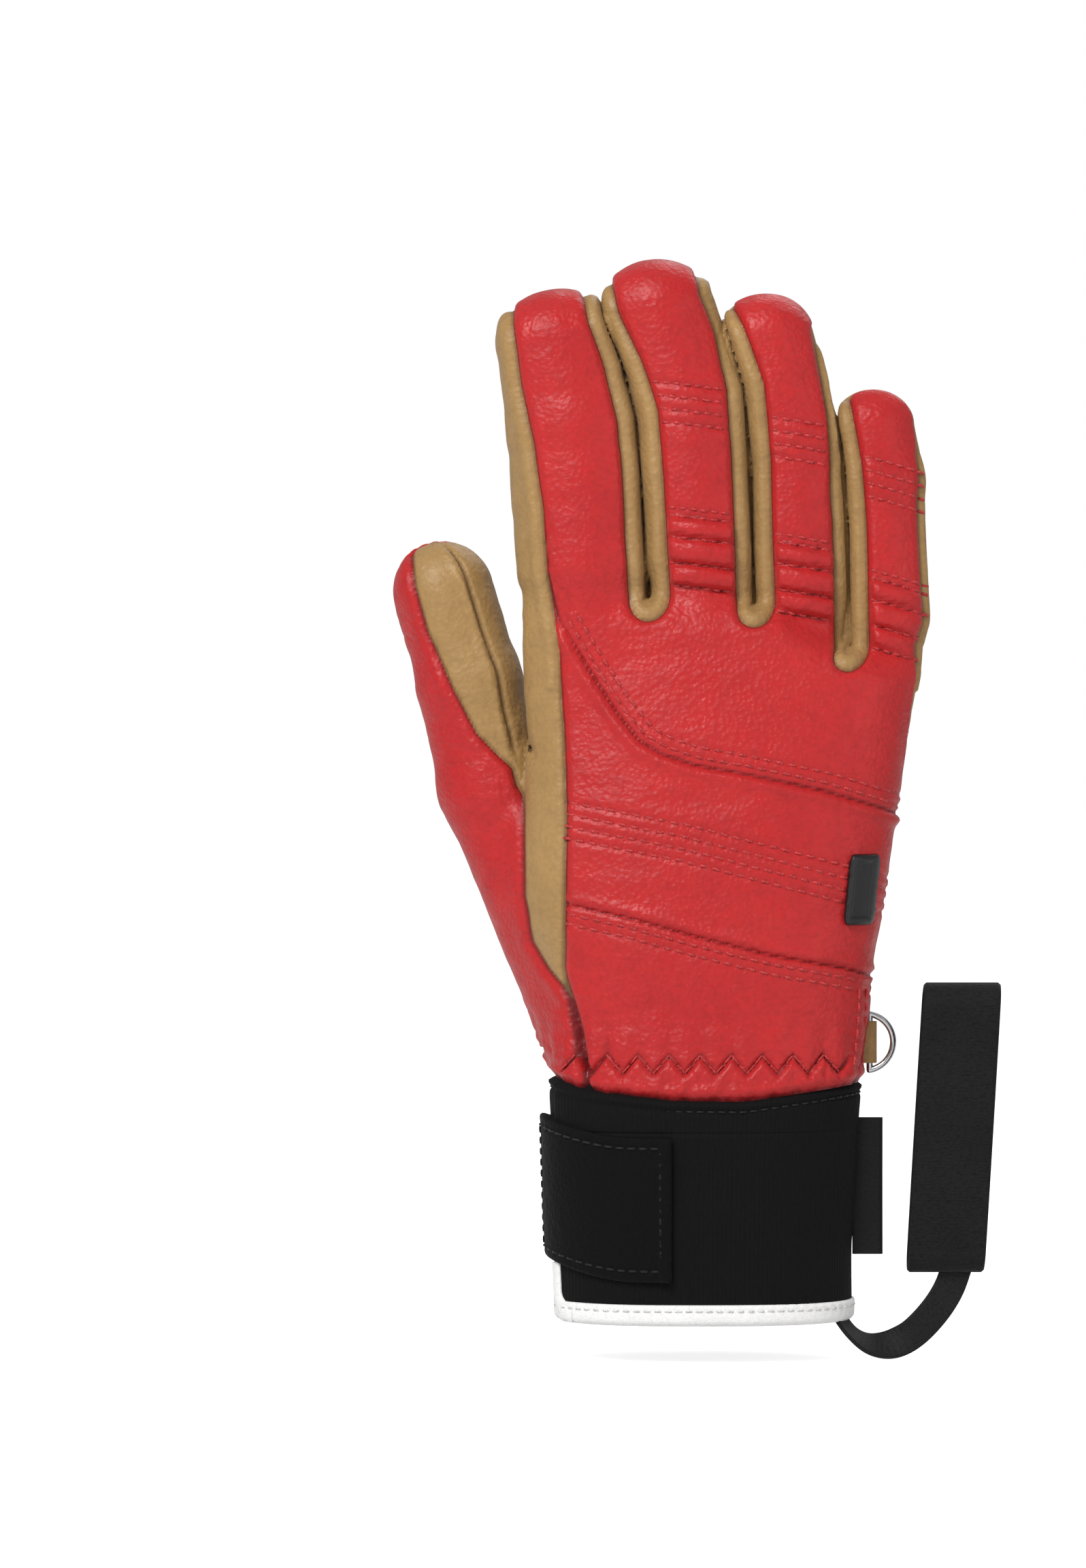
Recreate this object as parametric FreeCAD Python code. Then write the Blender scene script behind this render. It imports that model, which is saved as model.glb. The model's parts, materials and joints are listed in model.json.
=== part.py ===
"""Right-hand leather ski glove: shell panels, lining, wrist closure, D-ring and wrist leash.

Frame: the origin is the centre of the cuff opening, +Z runs to the fingertips, -Y is the back of
the hand, +Y is the palm, and the thumb is at -X. All lengths are in millimetres.
"""

import FreeCAD, Part
import math
import os

from FreeCAD import Placement, Rotation, Vector

# Layers of the glove wall, from the outside in.
LEATHER = 1.3
LAYER_GAP = 1.0  # thin insulation, and the wrist elastic, lie here
LINING = 2.0
HINGE_GAP = 0.15  # each side of a hinge plane is cut back by this much

REACH = 130.0  # cutting blocks reach this far past whatever they cut
ABOVE_KNUCKLES = 230.0  # a height above the whole hand
CLEARANCE = 0.05  # between pieces that lie against each other
HOOP_FIT = 0.25  # between a straight hoop and the curved walls beside it
SAMPLES = 24  # points round a smooth curve
SCRAP = 5.0  # slivers under this volume, left where a seam grazes an edge, are dropped

# Fingers: joint places, radii at the joints, and where the red back strip starts and ends, in degrees
# round the finger from the back (-Y) towards +X.
FINGERS = {
    "index": {
        "joints": [(-33.2, 0, 198), (-36.5, 0, 235), (-41, 0, 257.4)],
        "radii": [15.0, 14.2, 13.5],
        "back": (-38, 56),
    },
    "middle": {
        "joints": [(-2.6, 0, 201.5), (-5.2, 0, 240), (-13.6, 0, 266)],
        "radii": [13.3, 12.8, 12.6],
        "back": (-38, 48),
    },
    "ring": {
        "joints": [(24.4, 2, 194.5), (23, 2, 231), (16, 2, 259)],
        "radii": [11.6, 11.2, 11.0],
        "back": (-33, 52),
    },
    "little": {
        "joints": [(47.3, 4, 185), (46.3, 4, 221), (44, 4, 236)],
        "radii": [9.9, 9.3, 8.9],
        "back": (-30, 95),
    },
}
KNUCKLE_FLEX = 60
MIDDLE_FLEX = 70
PALM_STRIP = (128, 232)  # degrees round the finger from the back

THUMB = {
    "joints": [(-55.5, 14, 140), (-62, 14, 168), (-69.3, 14, 192)],
    "radii": [13.5, 13.3, 13.0],
}
THUMB_FLEX = (30, 45)
THUMB_ROOT = (-25, 8.5, 68)
THUMB_ROOT_RADIUS = 16.3
THUMB_ROOT_FULL = 17  # full width this far from its start
THUMB_BACK_TOP = 158  # the thumb's leather reaches up to here on the back
THUMB_RED = [(-235, -20), (-235, -48)]  # red panel of the lower and upper thumb, in degrees

# Hand, from the wrist up: height, centre across, half width, half depth.
HAND_SECTIONS = [
    (52, 0.4, 40.4, 24.5),
    (68, 0.2, 41.2, 23.5),
    (92, 1.0, 42.4, 23.5),
    (115, 0.6, 47.6, 22.0),
    (135, 2.0, 49.0, 20.5),
    (160, 3.5, 50.5, 17.5),
    (179, 4.0, 51.4, 15.0),
]
HAND_POWER = 2.5
STUB_TAPER = 40  # finger roots start this far below the knuckle, inside the hand
STUB_FULL = 14  # and reach full width this far below it
ROOT_SPARE = 6  # roots run this far past the first joint before they are cut
ROOT_START = 0.6  # a root starts with this share of its full width

# Band of elastic sewn in at the wrist.
ELASTIC_LOW = 65.5
ELASTIC_HIGH = 71.5
ELASTIC_SECTION = (0.25, 41.15, 23.5)  # centre across, half width and half depth of the hand there

# Seams of the back of the hand, as (x, z) from the thumb side across.
GUSSET_SEAM = [(-40.5, 54), (-36.4, 87), (-37.4, 93), (-37, 107), (-36.4, 130), (-38.3, 176), (-43, 215)]
UPPER_SEAM = [(-60, 195), (-41.4, 194), (-30.8, 171), (-17.3, 152), (-2.9, 145.6), (30.8, 139), (70, 129)]
LOWER_SEAM = [(-60, 112), (-37, 109.4), (-19.7, 105.7), (-1, 100.6), (17.5, 96), (36, 92.7), (70, 87)]
GUSSET_EDGE = -48.0  # leather beyond this belongs to the thumb
# Seams of the palm side, as (x, z).
THUMB_RED_SEAM = [(-21, 50), (-23, 75), (-28, 109), (-33, 134), (-36, 150), (-44, 158), (-130, 158)]
SADDLE_SEAM = [(-23, 75), (-17.4, 88), (-12, 100), (-11.3, 113), (-15.8, 132.5), (-31.6, 150), (-36, 150)]
PALM_SEAM = [(-70, 181), (-38.7, 176), (14, 162), (70, 149)]

# Cuff, from the opening up: height, centre across, half width, half depth.
WRIST_HEIGHT = 62
WRIST_FLEX = 12
CUFF_SECTIONS = [(-10, 0, 38.6, 25.0), (20, 0, 39.2, 25.6), (45, 0.2, 39.8, 25.6), (80, 0.4, 40.4, 24.8)]
CUFF_POWER = 2.3
CUFF_WALL = 3.0
CUFF_EDGE = 1.2  # the binding covers the edge by this much
EDGE_SECTION = (0, 38.85, 25.25)  # centre across, half width and half depth at the binding
SLIT_WIDTH = 3.5
SLIT_HEIGHT = 44
BINDING_HEIGHT = 5.4
BINDING_PROUD = 0.9

# Closure strap and its pads, which follow the cuff.
STRAP_LOW = 11.5
STRAP_HIGH = 49
STRAP_HINGE_Y = -2.0
STRAP_PATCH_END = -9.0
STRAP_BAND_END = -11.8
TAB_END = 25.2
STRAP_INSIDE = 1.5
STRAP_OUTSIDE = 3.2
HOOK_PAD_HALF = (15.5, 14.5)
HOOK_PAD_CENTRE = (6.5, 30.5)
HOOK_PAD_THICK = 1.2

# Badge, label and D-ring at the little-finger side.
BADGE_BOX = (36.4, 48, 103.5, 122.7)
BADGE_THICK = 1.2
LABEL_BOX = (39.8, -3.2, 17, 47, -2.0, 53)
RING_WIRE = 0.85
RING_BAR_X = 43.7
RING_HALF_HEIGHT = 7.4
RING_HEIGHT = 72.7
RING_REACH = 6.2
RING_PLAY = 0.08
RING_TAB_HALF_HEIGHT = 5.5
RING_TAB_RADIUS = 1.9

# Wrist leash: ribbon centre line, as (x, z), then the elastic loop.
LEASH_Y = -8.6
RIBBON_LINE = [(36, -4.4), (41, -6.8), (48, -6.6), (57, -0.6), (65, 9)]
RIBBON_HALF_WIDTH = 4.0
RIBBON_THICK = 1.2
LOOP_X = (57.5, 77.5)
LOOP_LOW = 13.4
LOOP_HIGH = 88
LOOP_DEPTH = 10
LOOP_THICK = 1.4


def direction(start, end):
    """Unit vector from one point to another."""
    return (Vector(*end) - Vector(*start)).normalize()


def local_frame(origin, along):
    """Placement whose Z runs along the given direction, with Y as near as it can be to the palm."""
    across = Vector(0, 1, 0).cross(along).normalize()
    return Placement(Vector(*origin), Rotation(across, along.cross(across), along, "ZXY"))


def half_space(origin, along, side, back_angle, palm_angle):
    """Block on one side of a hinge plane, cut back by an angle on its back and its palm side.

    side is 1 for the fingertip side and -1 for the wrist side.
    """
    back_rise = REACH * math.tan(math.radians(back_angle)) + HINGE_GAP
    palm_rise = REACH * math.tan(math.radians(palm_angle)) + HINGE_GAP
    outline = [
        (-REACH, side * back_rise),
        (0, side * HINGE_GAP),
        (REACH, side * palm_rise),
        (REACH, side * 2 * REACH),
        (-REACH, side * 2 * REACH),
    ]
    points = [Vector(-REACH, y, z) for y, z in outline]
    space = Part.Face(Part.makePolygon(points + points[:1])).extrude(Vector(2 * REACH, 0, 0))
    space.Placement = local_frame(origin, along)
    return space


def turned(profile, start_angle, end_angle, placement):
    """Solid swept by an (r, z) outline round the local Z axis, between angles from the back."""
    turn = Rotation(Vector(0, 0, 1), start_angle - 90)
    face = profile.copy()
    face.Placement = Placement(Vector(0, 0, 0), turn)
    solid = face.revolve(Vector(0, 0, 0), Vector(0, 0, 1), end_angle - start_angle)
    solid.Placement = placement.multiply(solid.Placement)
    return solid


def tube_profile(points):
    """Face in the local XZ plane from (r, z) corners."""
    corners = [Vector(r, 0, z) for r, z in points]
    return Part.Face(Part.makePolygon(corners + corners[:1]))


def dome_profile(radius, length, root_radius, wall, root):
    """Outline of a tube wall that closes in a half sphere; root is how far it starts below zero."""
    slope = (radius - root_radius) / length
    start = root_radius - slope * root
    inner = radius - wall
    half = math.sqrt(0.5)
    edges = [
        Part.makeLine(Vector(start, 0, -root), Vector(radius, 0, length)),
        Part.Arc(
            Vector(radius, 0, length),
            Vector(radius * half, 0, length + radius * half),
            Vector(0, 0, length + radius),
        ).toShape(),
        Part.makeLine(Vector(0, 0, length + radius), Vector(0, 0, length + inner)),
        Part.Arc(
            Vector(0, 0, length + inner),
            Vector(inner * half, 0, length + inner * half),
            Vector(inner, 0, length),
        ).toShape(),
        Part.makeLine(Vector(inner, 0, length), Vector(start - wall, 0, -root)),
        Part.makeLine(Vector(start - wall, 0, -root), Vector(start, 0, -root)),
    ]
    return Part.Face(Part.Wire(edges))


def straight_profile(root_radius, end_radius, length, wall, spare):
    """Outline of a cone wall that runs past both of its joints by a spare length."""
    slope = (end_radius - root_radius) / length
    low = root_radius - slope * spare
    high = end_radius + slope * spare
    start = -spare
    end = length + spare
    return tube_profile([(low, start), (high, end), (high - wall, end), (low - wall, start)])


def joint_direction(joints, index, before):
    """Direction of a hinge plane: halfway between the pieces that meet there."""
    ahead = direction(joints[index], joints[index + 1])
    return (before + ahead).normalize()


class Digit:
    """One finger or the thumb: a lower and an upper tube with a hinge plane at the foot of each."""

    SPARE = 8.0

    def __init__(self, joints, radii, flexes, before):
        self.joints = joints
        self.radii = radii
        self.half_flexes = [flex / 2 for flex in flexes]
        self.planes = [joint_direction(joints, 0, before)]
        self.planes.append(joint_direction(joints, 1, direction(joints[0], joints[1])))

    def clip(self, solid, index, side):
        """Cut a solid at a hinge plane, with a notch on its palm side that leaves room to bend."""
        space = half_space(self.joints[index], self.planes[index], side, 0, self.half_flexes[index])
        return solid.common(space)

    def lower(self, depth, wall, start_angle, end_angle):
        """Strip of the lower tube, lying depth below the surface."""
        length = (Vector(*self.joints[1]) - Vector(*self.joints[0])).Length
        profile = straight_profile(self.radii[0] - depth, self.radii[1] - depth, length, wall, self.SPARE)
        placement = local_frame(self.joints[0], direction(self.joints[0], self.joints[1]))
        solid = turned(profile, start_angle, end_angle, placement)
        return self.clip(self.clip(solid, 0, 1), 1, -1)

    def upper(self, depth, wall, start_angle, end_angle):
        """Strip of the domed upper tube, lying depth below the surface."""
        length = (Vector(*self.joints[2]) - Vector(*self.joints[1])).Length
        profile = dome_profile(self.radii[2] - depth, length, self.radii[1] - depth, wall, self.SPARE)
        placement = local_frame(self.joints[1], direction(self.joints[1], self.joints[2]))
        solid = turned(profile, start_angle, end_angle, placement)
        return self.clip(solid, 1, 1)


def superellipse(z, centre, half_width, half_depth, power):
    """Closed rounded-box wire at one height."""
    points = []
    for step in range(SAMPLES):
        angle = 2 * math.pi * step / SAMPLES
        across = math.copysign(abs(math.cos(angle)) ** (2 / power), math.cos(angle))
        deep = math.copysign(abs(math.sin(angle)) ** (2 / power), math.sin(angle))
        points.append(Vector(centre + half_width * across, half_depth * deep, z))
    curve = Part.BSplineCurve()
    curve.interpolate(points, PeriodicFlag=True)
    return Part.Wire(curve.toShape())


def sleeve(sections, power, grow):
    """Smooth body through the sections, all of them grown (or shrunk, if negative) by a length."""
    wires = [superellipse(z, c, w + grow, d + grow, power) for z, c, w, d in sections]
    return Part.makeLoft(wires, True, False)


def hoop(section, power, low, high, outside, inside):
    """Straight closed band between two heights, and between two distances outside a section."""
    centre, half_width, half_depth = section
    wires = []
    for grow in (outside, inside):
        wires.append(superellipse(low, centre, half_width + grow, half_depth + grow, power))
    outer, hole = (Part.Face(wire).extrude(Vector(0, 0, high - low)) for wire in wires)
    return outer.cut(hole)


def make_digits():
    """All five digits, by name."""
    digits = {}
    up_the_hand = Vector(0, 0, 1)
    for name, spec in FINGERS.items():
        digits[name] = Digit(spec["joints"], spec["radii"], (KNUCKLE_FLEX, MIDDLE_FLEX), up_the_hand)
    before = direction(THUMB_ROOT, THUMB["joints"][0])
    digits["thumb"] = Digit(THUMB["joints"], THUMB["radii"], THUMB_FLEX, before)
    return digits


def finger_root(digit, depth):
    """Solid root of a finger, from inside the hand to past its knuckle."""
    radius = digit.radii[0] - depth
    end = ROOT_SPARE
    start = radius * ROOT_START
    outline = [(0, -STUB_TAPER), (start, -STUB_TAPER), (radius, -STUB_FULL), (radius, end), (0, end)]
    profile = tube_profile(outline)
    return turned(profile, 0, 360, local_frame(digit.joints[0], Vector(0, 0, 1)))


def thumb_root(digit, depth):
    """Solid root of the thumb, from inside the hand to past its first joint."""
    start = THUMB_ROOT_RADIUS - depth
    end = digit.radii[0] - depth
    length = (Vector(*digit.joints[0]) - Vector(*THUMB_ROOT)).Length
    top = length + ROOT_SPARE
    outline = [(0, 0), (start * ROOT_START, 0), (start, THUMB_ROOT_FULL), (end, length), (end, top), (0, top)]
    profile = tube_profile(outline)
    return turned(profile, 0, 360, local_frame(THUMB_ROOT, direction(THUMB_ROOT, digit.joints[0])))


def hand_body(digits, depth, clipped):
    """Hand with its five roots, shrunk by depth; clipped cuts it at the wrist and at the knuckles."""
    sections = [list(section) for section in HAND_SECTIONS]
    sections[-1][0] -= depth
    body = sleeve(sections, HAND_POWER, -depth)
    for name, digit in digits.items():
        root = thumb_root(digit, depth) if name == "thumb" else finger_root(digit, depth)
        if clipped:
            root = digit.clip(root, 0, -1)
        body = body.fuse(root)
    if clipped:
        wrist = half_space((0, 0, WRIST_HEIGHT), Vector(0, 0, 1), 1, WRIST_FLEX / 2, WRIST_FLEX / 2)
        body = body.common(wrist)
    return body


def hand_layer(digits, outside, inside):
    """One layer of the hand between two depths, open at the wrist and at each digit."""
    thumb = digits["thumb"]
    beside_thumb = thumb.lower(-HINGE_GAP, thumb.radii[1], 0, 360)
    return hand_body(digits, outside, True).cut([hand_body(digits, inside, False), beside_thumb])


def prism(outline, low_y, high_y):
    """Block with an (x, z) outline between two depths."""
    points = [Vector(x, low_y, z) for x, z in outline]
    return Part.Face(Part.makePolygon(points + points[:1])).extrude(Vector(0, high_y - low_y, 0))


def block(low, high):
    """Box between two corners."""
    size = Vector(*high) - Vector(*low)
    return Part.makeBox(size.x, size.y, size.z, Vector(*low))


def above(seam, top):
    """Outline of all that lies above a seam."""
    return seam + [(seam[-1][0], top), (seam[0][0], top)]


def between(lower, upper):
    """Outline of all that lies between two seams."""
    return lower + upper[::-1]


def hand_panels(digits):
    """Leather shell of the hand, split into its panels at the seams."""
    shell = hand_layer(digits, 0, LEATHER)
    back = shell.common(block((-REACH, -REACH, 0), (REACH, 0, ABOVE_KNUCKLES)))
    palm = shell.common(block((-REACH, 0, 0), (REACH, REACH, ABOVE_KNUCKLES)))
    beside = prism(GUSSET_SEAM + [(-REACH, GUSSET_SEAM[-1][1]), (-REACH, GUSSET_SEAM[0][1])], -REACH, 0)
    gusset = back.common(beside)
    back = back.cut(beside)
    floor = [(-60, 40), (70, 40)]
    panels = {
        "back_upper_panel": back.common(prism(above(UPPER_SEAM, ABOVE_KNUCKLES), -REACH, 0)),
        "back_middle_panel": back.common(prism(between(LOWER_SEAM, UPPER_SEAM), -REACH, 0)),
        "back_lower_panel": back.common(prism(between(floor, LOWER_SEAM), -REACH, 0)),
    }
    red = prism(THUMB_RED_SEAM + [(-REACH, 50)], 0, REACH)
    thumb_back = gusset.common(block((-REACH, -REACH, 0), (GUSSET_EDGE, 0, THUMB_BACK_TOP)))
    saddle = prism(SADDLE_SEAM + THUMB_RED_SEAM[3:0:-1], 0, REACH)
    upper = prism(above(PALM_SEAM, ABOVE_KNUCKLES), 0, REACH)
    panels["thumb_side_gusset"] = gusset.cut(thumb_back)
    panels["thumb_root_outer"] = palm.common(red).fuse(thumb_back)
    palm = palm.cut(red)
    panels["thumb_root_saddle"] = palm.common(saddle)
    palm = palm.cut(saddle)
    panels["palm_upper_panel"] = palm.common(upper)
    panels["palm_panel"] = palm.cut(upper)
    return panels


def hand_inside(digits):
    """Lining of the hand, and the elastic band between it and the leather at the wrist."""
    depth = LEATHER + LAYER_GAP
    outside = -LEATHER - HOOP_FIT
    elastic = hoop(ELASTIC_SECTION, HAND_POWER, ELASTIC_LOW, ELASTIC_HIGH, outside, -depth + HOOP_FIT)
    elastic = elastic.cut(thumb_root(digits["thumb"], -HOOP_FIT))
    return {"hand_lining": hand_layer(digits, depth, depth + LINING), "wrist_elastic": elastic}


def digit_parts(digits):
    """Strips and linings of the four fingers and the thumb."""
    parts = {}
    depth = LEATHER + LAYER_GAP
    for name, spec in FINGERS.items():
        digit = digits[name]
        start, end = spec["back"]
        for place, strip in (("base", digit.lower), ("tip", digit.upper)):
            sides = [strip(0, LEATHER, end, PALM_STRIP[0]), strip(0, LEATHER, PALM_STRIP[1], start + 360)]
            parts[f"{name}_{place}_back"] = strip(0, LEATHER, start, end)
            parts[f"{name}_{place}_sides"] = Part.makeCompound(sides)
            parts[f"{name}_{place}_palm"] = strip(0, LEATHER, *PALM_STRIP)
            parts[f"{name}_{place}_lining"] = strip(depth, LINING, 0, 360)
    thumb = digits["thumb"]
    for place, strip, red in (("base", thumb.lower, THUMB_RED[0]), ("tip", thumb.upper, THUMB_RED[1])):
        parts[f"thumb_{place}_outer"] = strip(0, LEATHER, *red)
        parts[f"thumb_{place}_inner"] = strip(0, LEATHER, red[1], red[0] + 360)
        parts[f"thumb_{place}_lining"] = strip(depth, LINING, 0, 360)
    return parts


def cuff_layer(inside, outside):
    """Wall that follows the cuff, between two heights above its surface."""
    return sleeve(CUFF_SECTIONS, CUFF_POWER, outside).cut(sleeve(CUFF_SECTIONS, CUFF_POWER, inside))


def cuff_parts():
    """Neoprene cuff with its slit, and the binding folded round its lower edge."""
    below_wrist = half_space((0, 0, WRIST_HEIGHT), Vector(0, 0, 1), -1, WRIST_FLEX / 2, WRIST_FLEX / 2)
    slit = block((-REACH, -SLIT_WIDTH / 2, -REACH), (0, SLIT_WIDTH / 2, SLIT_HEIGHT))
    tall = block((-REACH, -REACH, CUFF_EDGE), (REACH, REACH, WRIST_HEIGHT))
    cuff = cuff_layer(-CUFF_WALL, 0).common(tall).common(below_wrist).cut(slit)
    binding = hoop(EDGE_SECTION, CUFF_POWER, 0, BINDING_HEIGHT, BINDING_PROUD, -CUFF_WALL - BINDING_PROUD)
    groove = hoop(EDGE_SECTION, CUFF_POWER, CUFF_EDGE, REACH, HOOP_FIT, -CUFF_WALL - HOOP_FIT)
    binding = binding.cut(groove).cut(slit)
    return {"cuff": cuff, "cuff_binding": binding}


def strap_parts():
    """Closure strap: sewn patch on the back, free band round the thumb side, pull tab and hook pad."""
    free = cuff_layer(STRAP_INSIDE, STRAP_OUTSIDE)
    patch_corner = (STRAP_PATCH_END, STRAP_HINGE_Y - HINGE_GAP, STRAP_HIGH)
    patch_space = block((-REACH, -REACH, STRAP_LOW), patch_corner)
    band_space = block((-REACH, STRAP_HINGE_Y, STRAP_LOW), (STRAP_BAND_END, REACH, STRAP_HIGH))
    tab_space = block((STRAP_BAND_END, 0, STRAP_LOW), (TAB_END, REACH, STRAP_HIGH))
    half_x, half_z = HOOK_PAD_HALF
    pad_x, pad_z = HOOK_PAD_CENTRE
    pad_space = block((pad_x - half_x, 0, pad_z - half_z), (pad_x + half_x, REACH, pad_z + half_z))
    return {
        "strap_patch": cuff_layer(CLEARANCE, STRAP_OUTSIDE).common(patch_space),
        "strap_band": free.common(band_space),
        "pull_tab": free.common(tab_space),
        "hook_pad": cuff_layer(CLEARANCE, HOOK_PAD_THICK).common(pad_space),
    }


def badge_and_label():
    """Plain moulded badge on the back of the hand, and the folded label at the side of the cuff."""
    low_x, high_x, low_z, high_z = BADGE_BOX
    skin = sleeve(HAND_SECTIONS, HAND_POWER, BADGE_THICK).cut(sleeve(HAND_SECTIONS, HAND_POWER, 0))
    badge = skin.common(block((low_x, -REACH, low_z), (high_x, 0, high_z)))
    label = block(LABEL_BOX[:3], LABEL_BOX[3:]).cut(sleeve(CUFF_SECTIONS, CUFF_POWER, CLEARANCE))
    return {"badge": badge, "side_label": label}


def ring_parts():
    """Chrome D-ring that swings on its straight bar in a folded leather tab."""
    low = Vector(RING_BAR_X, 0, RING_HEIGHT - RING_HALF_HEIGHT)
    high = Vector(RING_BAR_X, 0, RING_HEIGHT + RING_HALF_HEIGHT)
    bar = Part.makeCylinder(RING_WIRE, 2 * RING_HALF_HEIGHT, low)
    bow = Part.Arc(low, Vector(RING_BAR_X + RING_REACH, 0, RING_HEIGHT), high).toShape()
    start = bow.tangentAt(bow.FirstParameter)
    section = Part.Wire(Part.makeCircle(RING_WIRE, low, start))
    ring = Part.Wire(bow).makePipeShell([section], True, False)
    ring = ring.fuse([bar, Part.makeSphere(RING_WIRE, low), Part.makeSphere(RING_WIRE, high)])
    foot = Vector(RING_BAR_X, 0, RING_HEIGHT - RING_TAB_HALF_HEIGHT)
    nose = Part.makeCylinder(RING_TAB_RADIUS, 2 * RING_TAB_HALF_HEIGHT, foot)
    bore = Part.makeCylinder(RING_WIRE + RING_PLAY, 2 * RING_TAB_HALF_HEIGHT, foot)
    low_corner = (RING_BAR_X - 8, -RING_TAB_RADIUS, RING_HEIGHT - RING_TAB_HALF_HEIGHT)
    high_corner = (RING_BAR_X, RING_TAB_RADIUS, RING_HEIGHT + RING_TAB_HALF_HEIGHT)
    tab = nose.fuse(block(low_corner, high_corner)).cut(bore)
    tab = tab.cut(sleeve(HAND_SECTIONS, HAND_POWER, CLEARANCE))
    return {"d_ring": ring, "d_ring_tab": tab}


def ribbon_edge(curve, side):
    """Curve beside the ribbon's centre line, half its width away."""
    points = []
    for step in range(SAMPLES + 1):
        share = curve.FirstParameter + (curve.LastParameter - curve.FirstParameter) * step / SAMPLES
        heading = Vector(*curve.tangent(share)[0])
        aside = Vector(-heading.z, 0, heading.x) * side * RIBBON_HALF_WIDTH
        points.append(curve.value(share) + aside)
    edge = Part.BSplineCurve()
    edge.interpolate(points)
    return edge


def leash_parts():
    """Grosgrain ribbon with round ends, and the closed elastic loop beyond it."""
    low_y = LEASH_Y - RIBBON_THICK / 2
    line = Part.BSplineCurve()
    line.interpolate([Vector(x, low_y, z) for x, z in RIBBON_LINE])
    left = ribbon_edge(line, 1)
    right = ribbon_edge(line, -1)
    ends = [
        Part.makeLine(left.EndPoint, right.EndPoint),
        Part.makeLine(right.StartPoint, left.StartPoint),
    ]
    outline = Part.Wire([left.toShape(), ends[0], right.toShape(), ends[1]])
    ribbon = Part.Face(outline).extrude(Vector(0, RIBBON_THICK, 0))
    for x, z in (RIBBON_LINE[0], RIBBON_LINE[-1]):
        end = Part.makeCylinder(RIBBON_HALF_WIDTH, RIBBON_THICK, Vector(x, low_y, z), Vector(0, 1, 0))
        ribbon = ribbon.fuse(end)
    loop = loop_solid(0).cut(loop_solid(LOOP_THICK))
    return {"leash_ribbon": ribbon, "leash_loop": loop}


def loop_solid(inset):
    """Stadium-shaped bar across the elastic loop, shrunk by an inset."""
    radius = LOOP_DEPTH / 2 - inset
    low = LOOP_LOW + LOOP_DEPTH / 2
    high = LOOP_HIGH - LOOP_DEPTH / 2
    width = LOOP_X[1] - LOOP_X[0]
    bar = block((LOOP_X[0], LEASH_Y - radius, low), (LOOP_X[1], LEASH_Y + radius, high))
    for z in (low, high):
        bar = bar.fuse(Part.makeCylinder(radius, width, Vector(LOOP_X[0], LEASH_Y, z), Vector(1, 0, 0)))
    return bar


def main():
    """Build every piece and write one file for each."""
    digits = make_digits()
    parts = {}
    for group in (
        hand_panels(digits),
        hand_inside(digits),
        digit_parts(digits),
        cuff_parts(),
        strap_parts(),
        badge_and_label(),
        ring_parts(),
        leash_parts(),
    ):
        parts.update(group)
    os.makedirs("parts", exist_ok=True)
    for name, shape in parts.items():
        solids = [solid.removeSplitter() for solid in shape.Solids if solid.Volume > SCRAP]
        piece = solids[0] if len(solids) == 1 else Part.makeCompound(solids)
        piece.exportStep(f"parts/{name}.step")
        print(name, len(solids), round(piece.Volume / 1000, 2), piece.isValid())


main()
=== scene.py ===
"""The looks of a right-hand leather ski glove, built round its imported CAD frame.

Shapes are worked out here in millimetres in the frame's own axes (+Z to the fingertips, -Y the back
of the hand, +Y the palm, thumb at -X), and every mesh is made in metres.
"""

import json
import math

import bpy
import numpy as np
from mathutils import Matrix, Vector
from mathutils.bvhtree import BVHTree

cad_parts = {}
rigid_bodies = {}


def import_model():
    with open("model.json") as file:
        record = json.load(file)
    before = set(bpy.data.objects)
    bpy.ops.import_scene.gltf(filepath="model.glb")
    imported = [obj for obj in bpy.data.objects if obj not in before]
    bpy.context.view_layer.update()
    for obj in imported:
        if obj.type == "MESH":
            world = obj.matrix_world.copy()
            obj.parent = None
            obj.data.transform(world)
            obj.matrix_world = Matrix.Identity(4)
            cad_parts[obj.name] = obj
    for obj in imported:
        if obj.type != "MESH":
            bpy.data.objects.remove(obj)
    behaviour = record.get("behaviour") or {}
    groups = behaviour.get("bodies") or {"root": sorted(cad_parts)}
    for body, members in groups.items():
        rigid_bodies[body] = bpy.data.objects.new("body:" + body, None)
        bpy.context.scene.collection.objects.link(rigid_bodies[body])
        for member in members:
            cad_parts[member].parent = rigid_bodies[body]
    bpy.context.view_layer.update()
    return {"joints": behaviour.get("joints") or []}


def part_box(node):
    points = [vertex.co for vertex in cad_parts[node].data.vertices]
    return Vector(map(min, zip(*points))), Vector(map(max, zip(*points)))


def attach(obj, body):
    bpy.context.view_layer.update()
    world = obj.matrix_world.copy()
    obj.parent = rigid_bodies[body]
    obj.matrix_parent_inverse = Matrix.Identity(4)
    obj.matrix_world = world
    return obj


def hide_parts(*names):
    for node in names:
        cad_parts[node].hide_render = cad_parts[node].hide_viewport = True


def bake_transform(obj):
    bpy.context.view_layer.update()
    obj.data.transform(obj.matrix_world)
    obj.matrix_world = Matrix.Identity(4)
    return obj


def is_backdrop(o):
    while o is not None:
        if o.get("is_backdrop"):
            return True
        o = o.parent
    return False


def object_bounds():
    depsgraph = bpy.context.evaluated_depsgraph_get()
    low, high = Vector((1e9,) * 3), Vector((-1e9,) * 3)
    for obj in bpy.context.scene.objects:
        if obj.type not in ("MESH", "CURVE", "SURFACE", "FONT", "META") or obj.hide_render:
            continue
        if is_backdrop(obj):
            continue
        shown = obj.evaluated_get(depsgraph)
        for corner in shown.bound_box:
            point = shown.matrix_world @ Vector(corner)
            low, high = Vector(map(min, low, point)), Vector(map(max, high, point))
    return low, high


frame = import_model()

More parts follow.
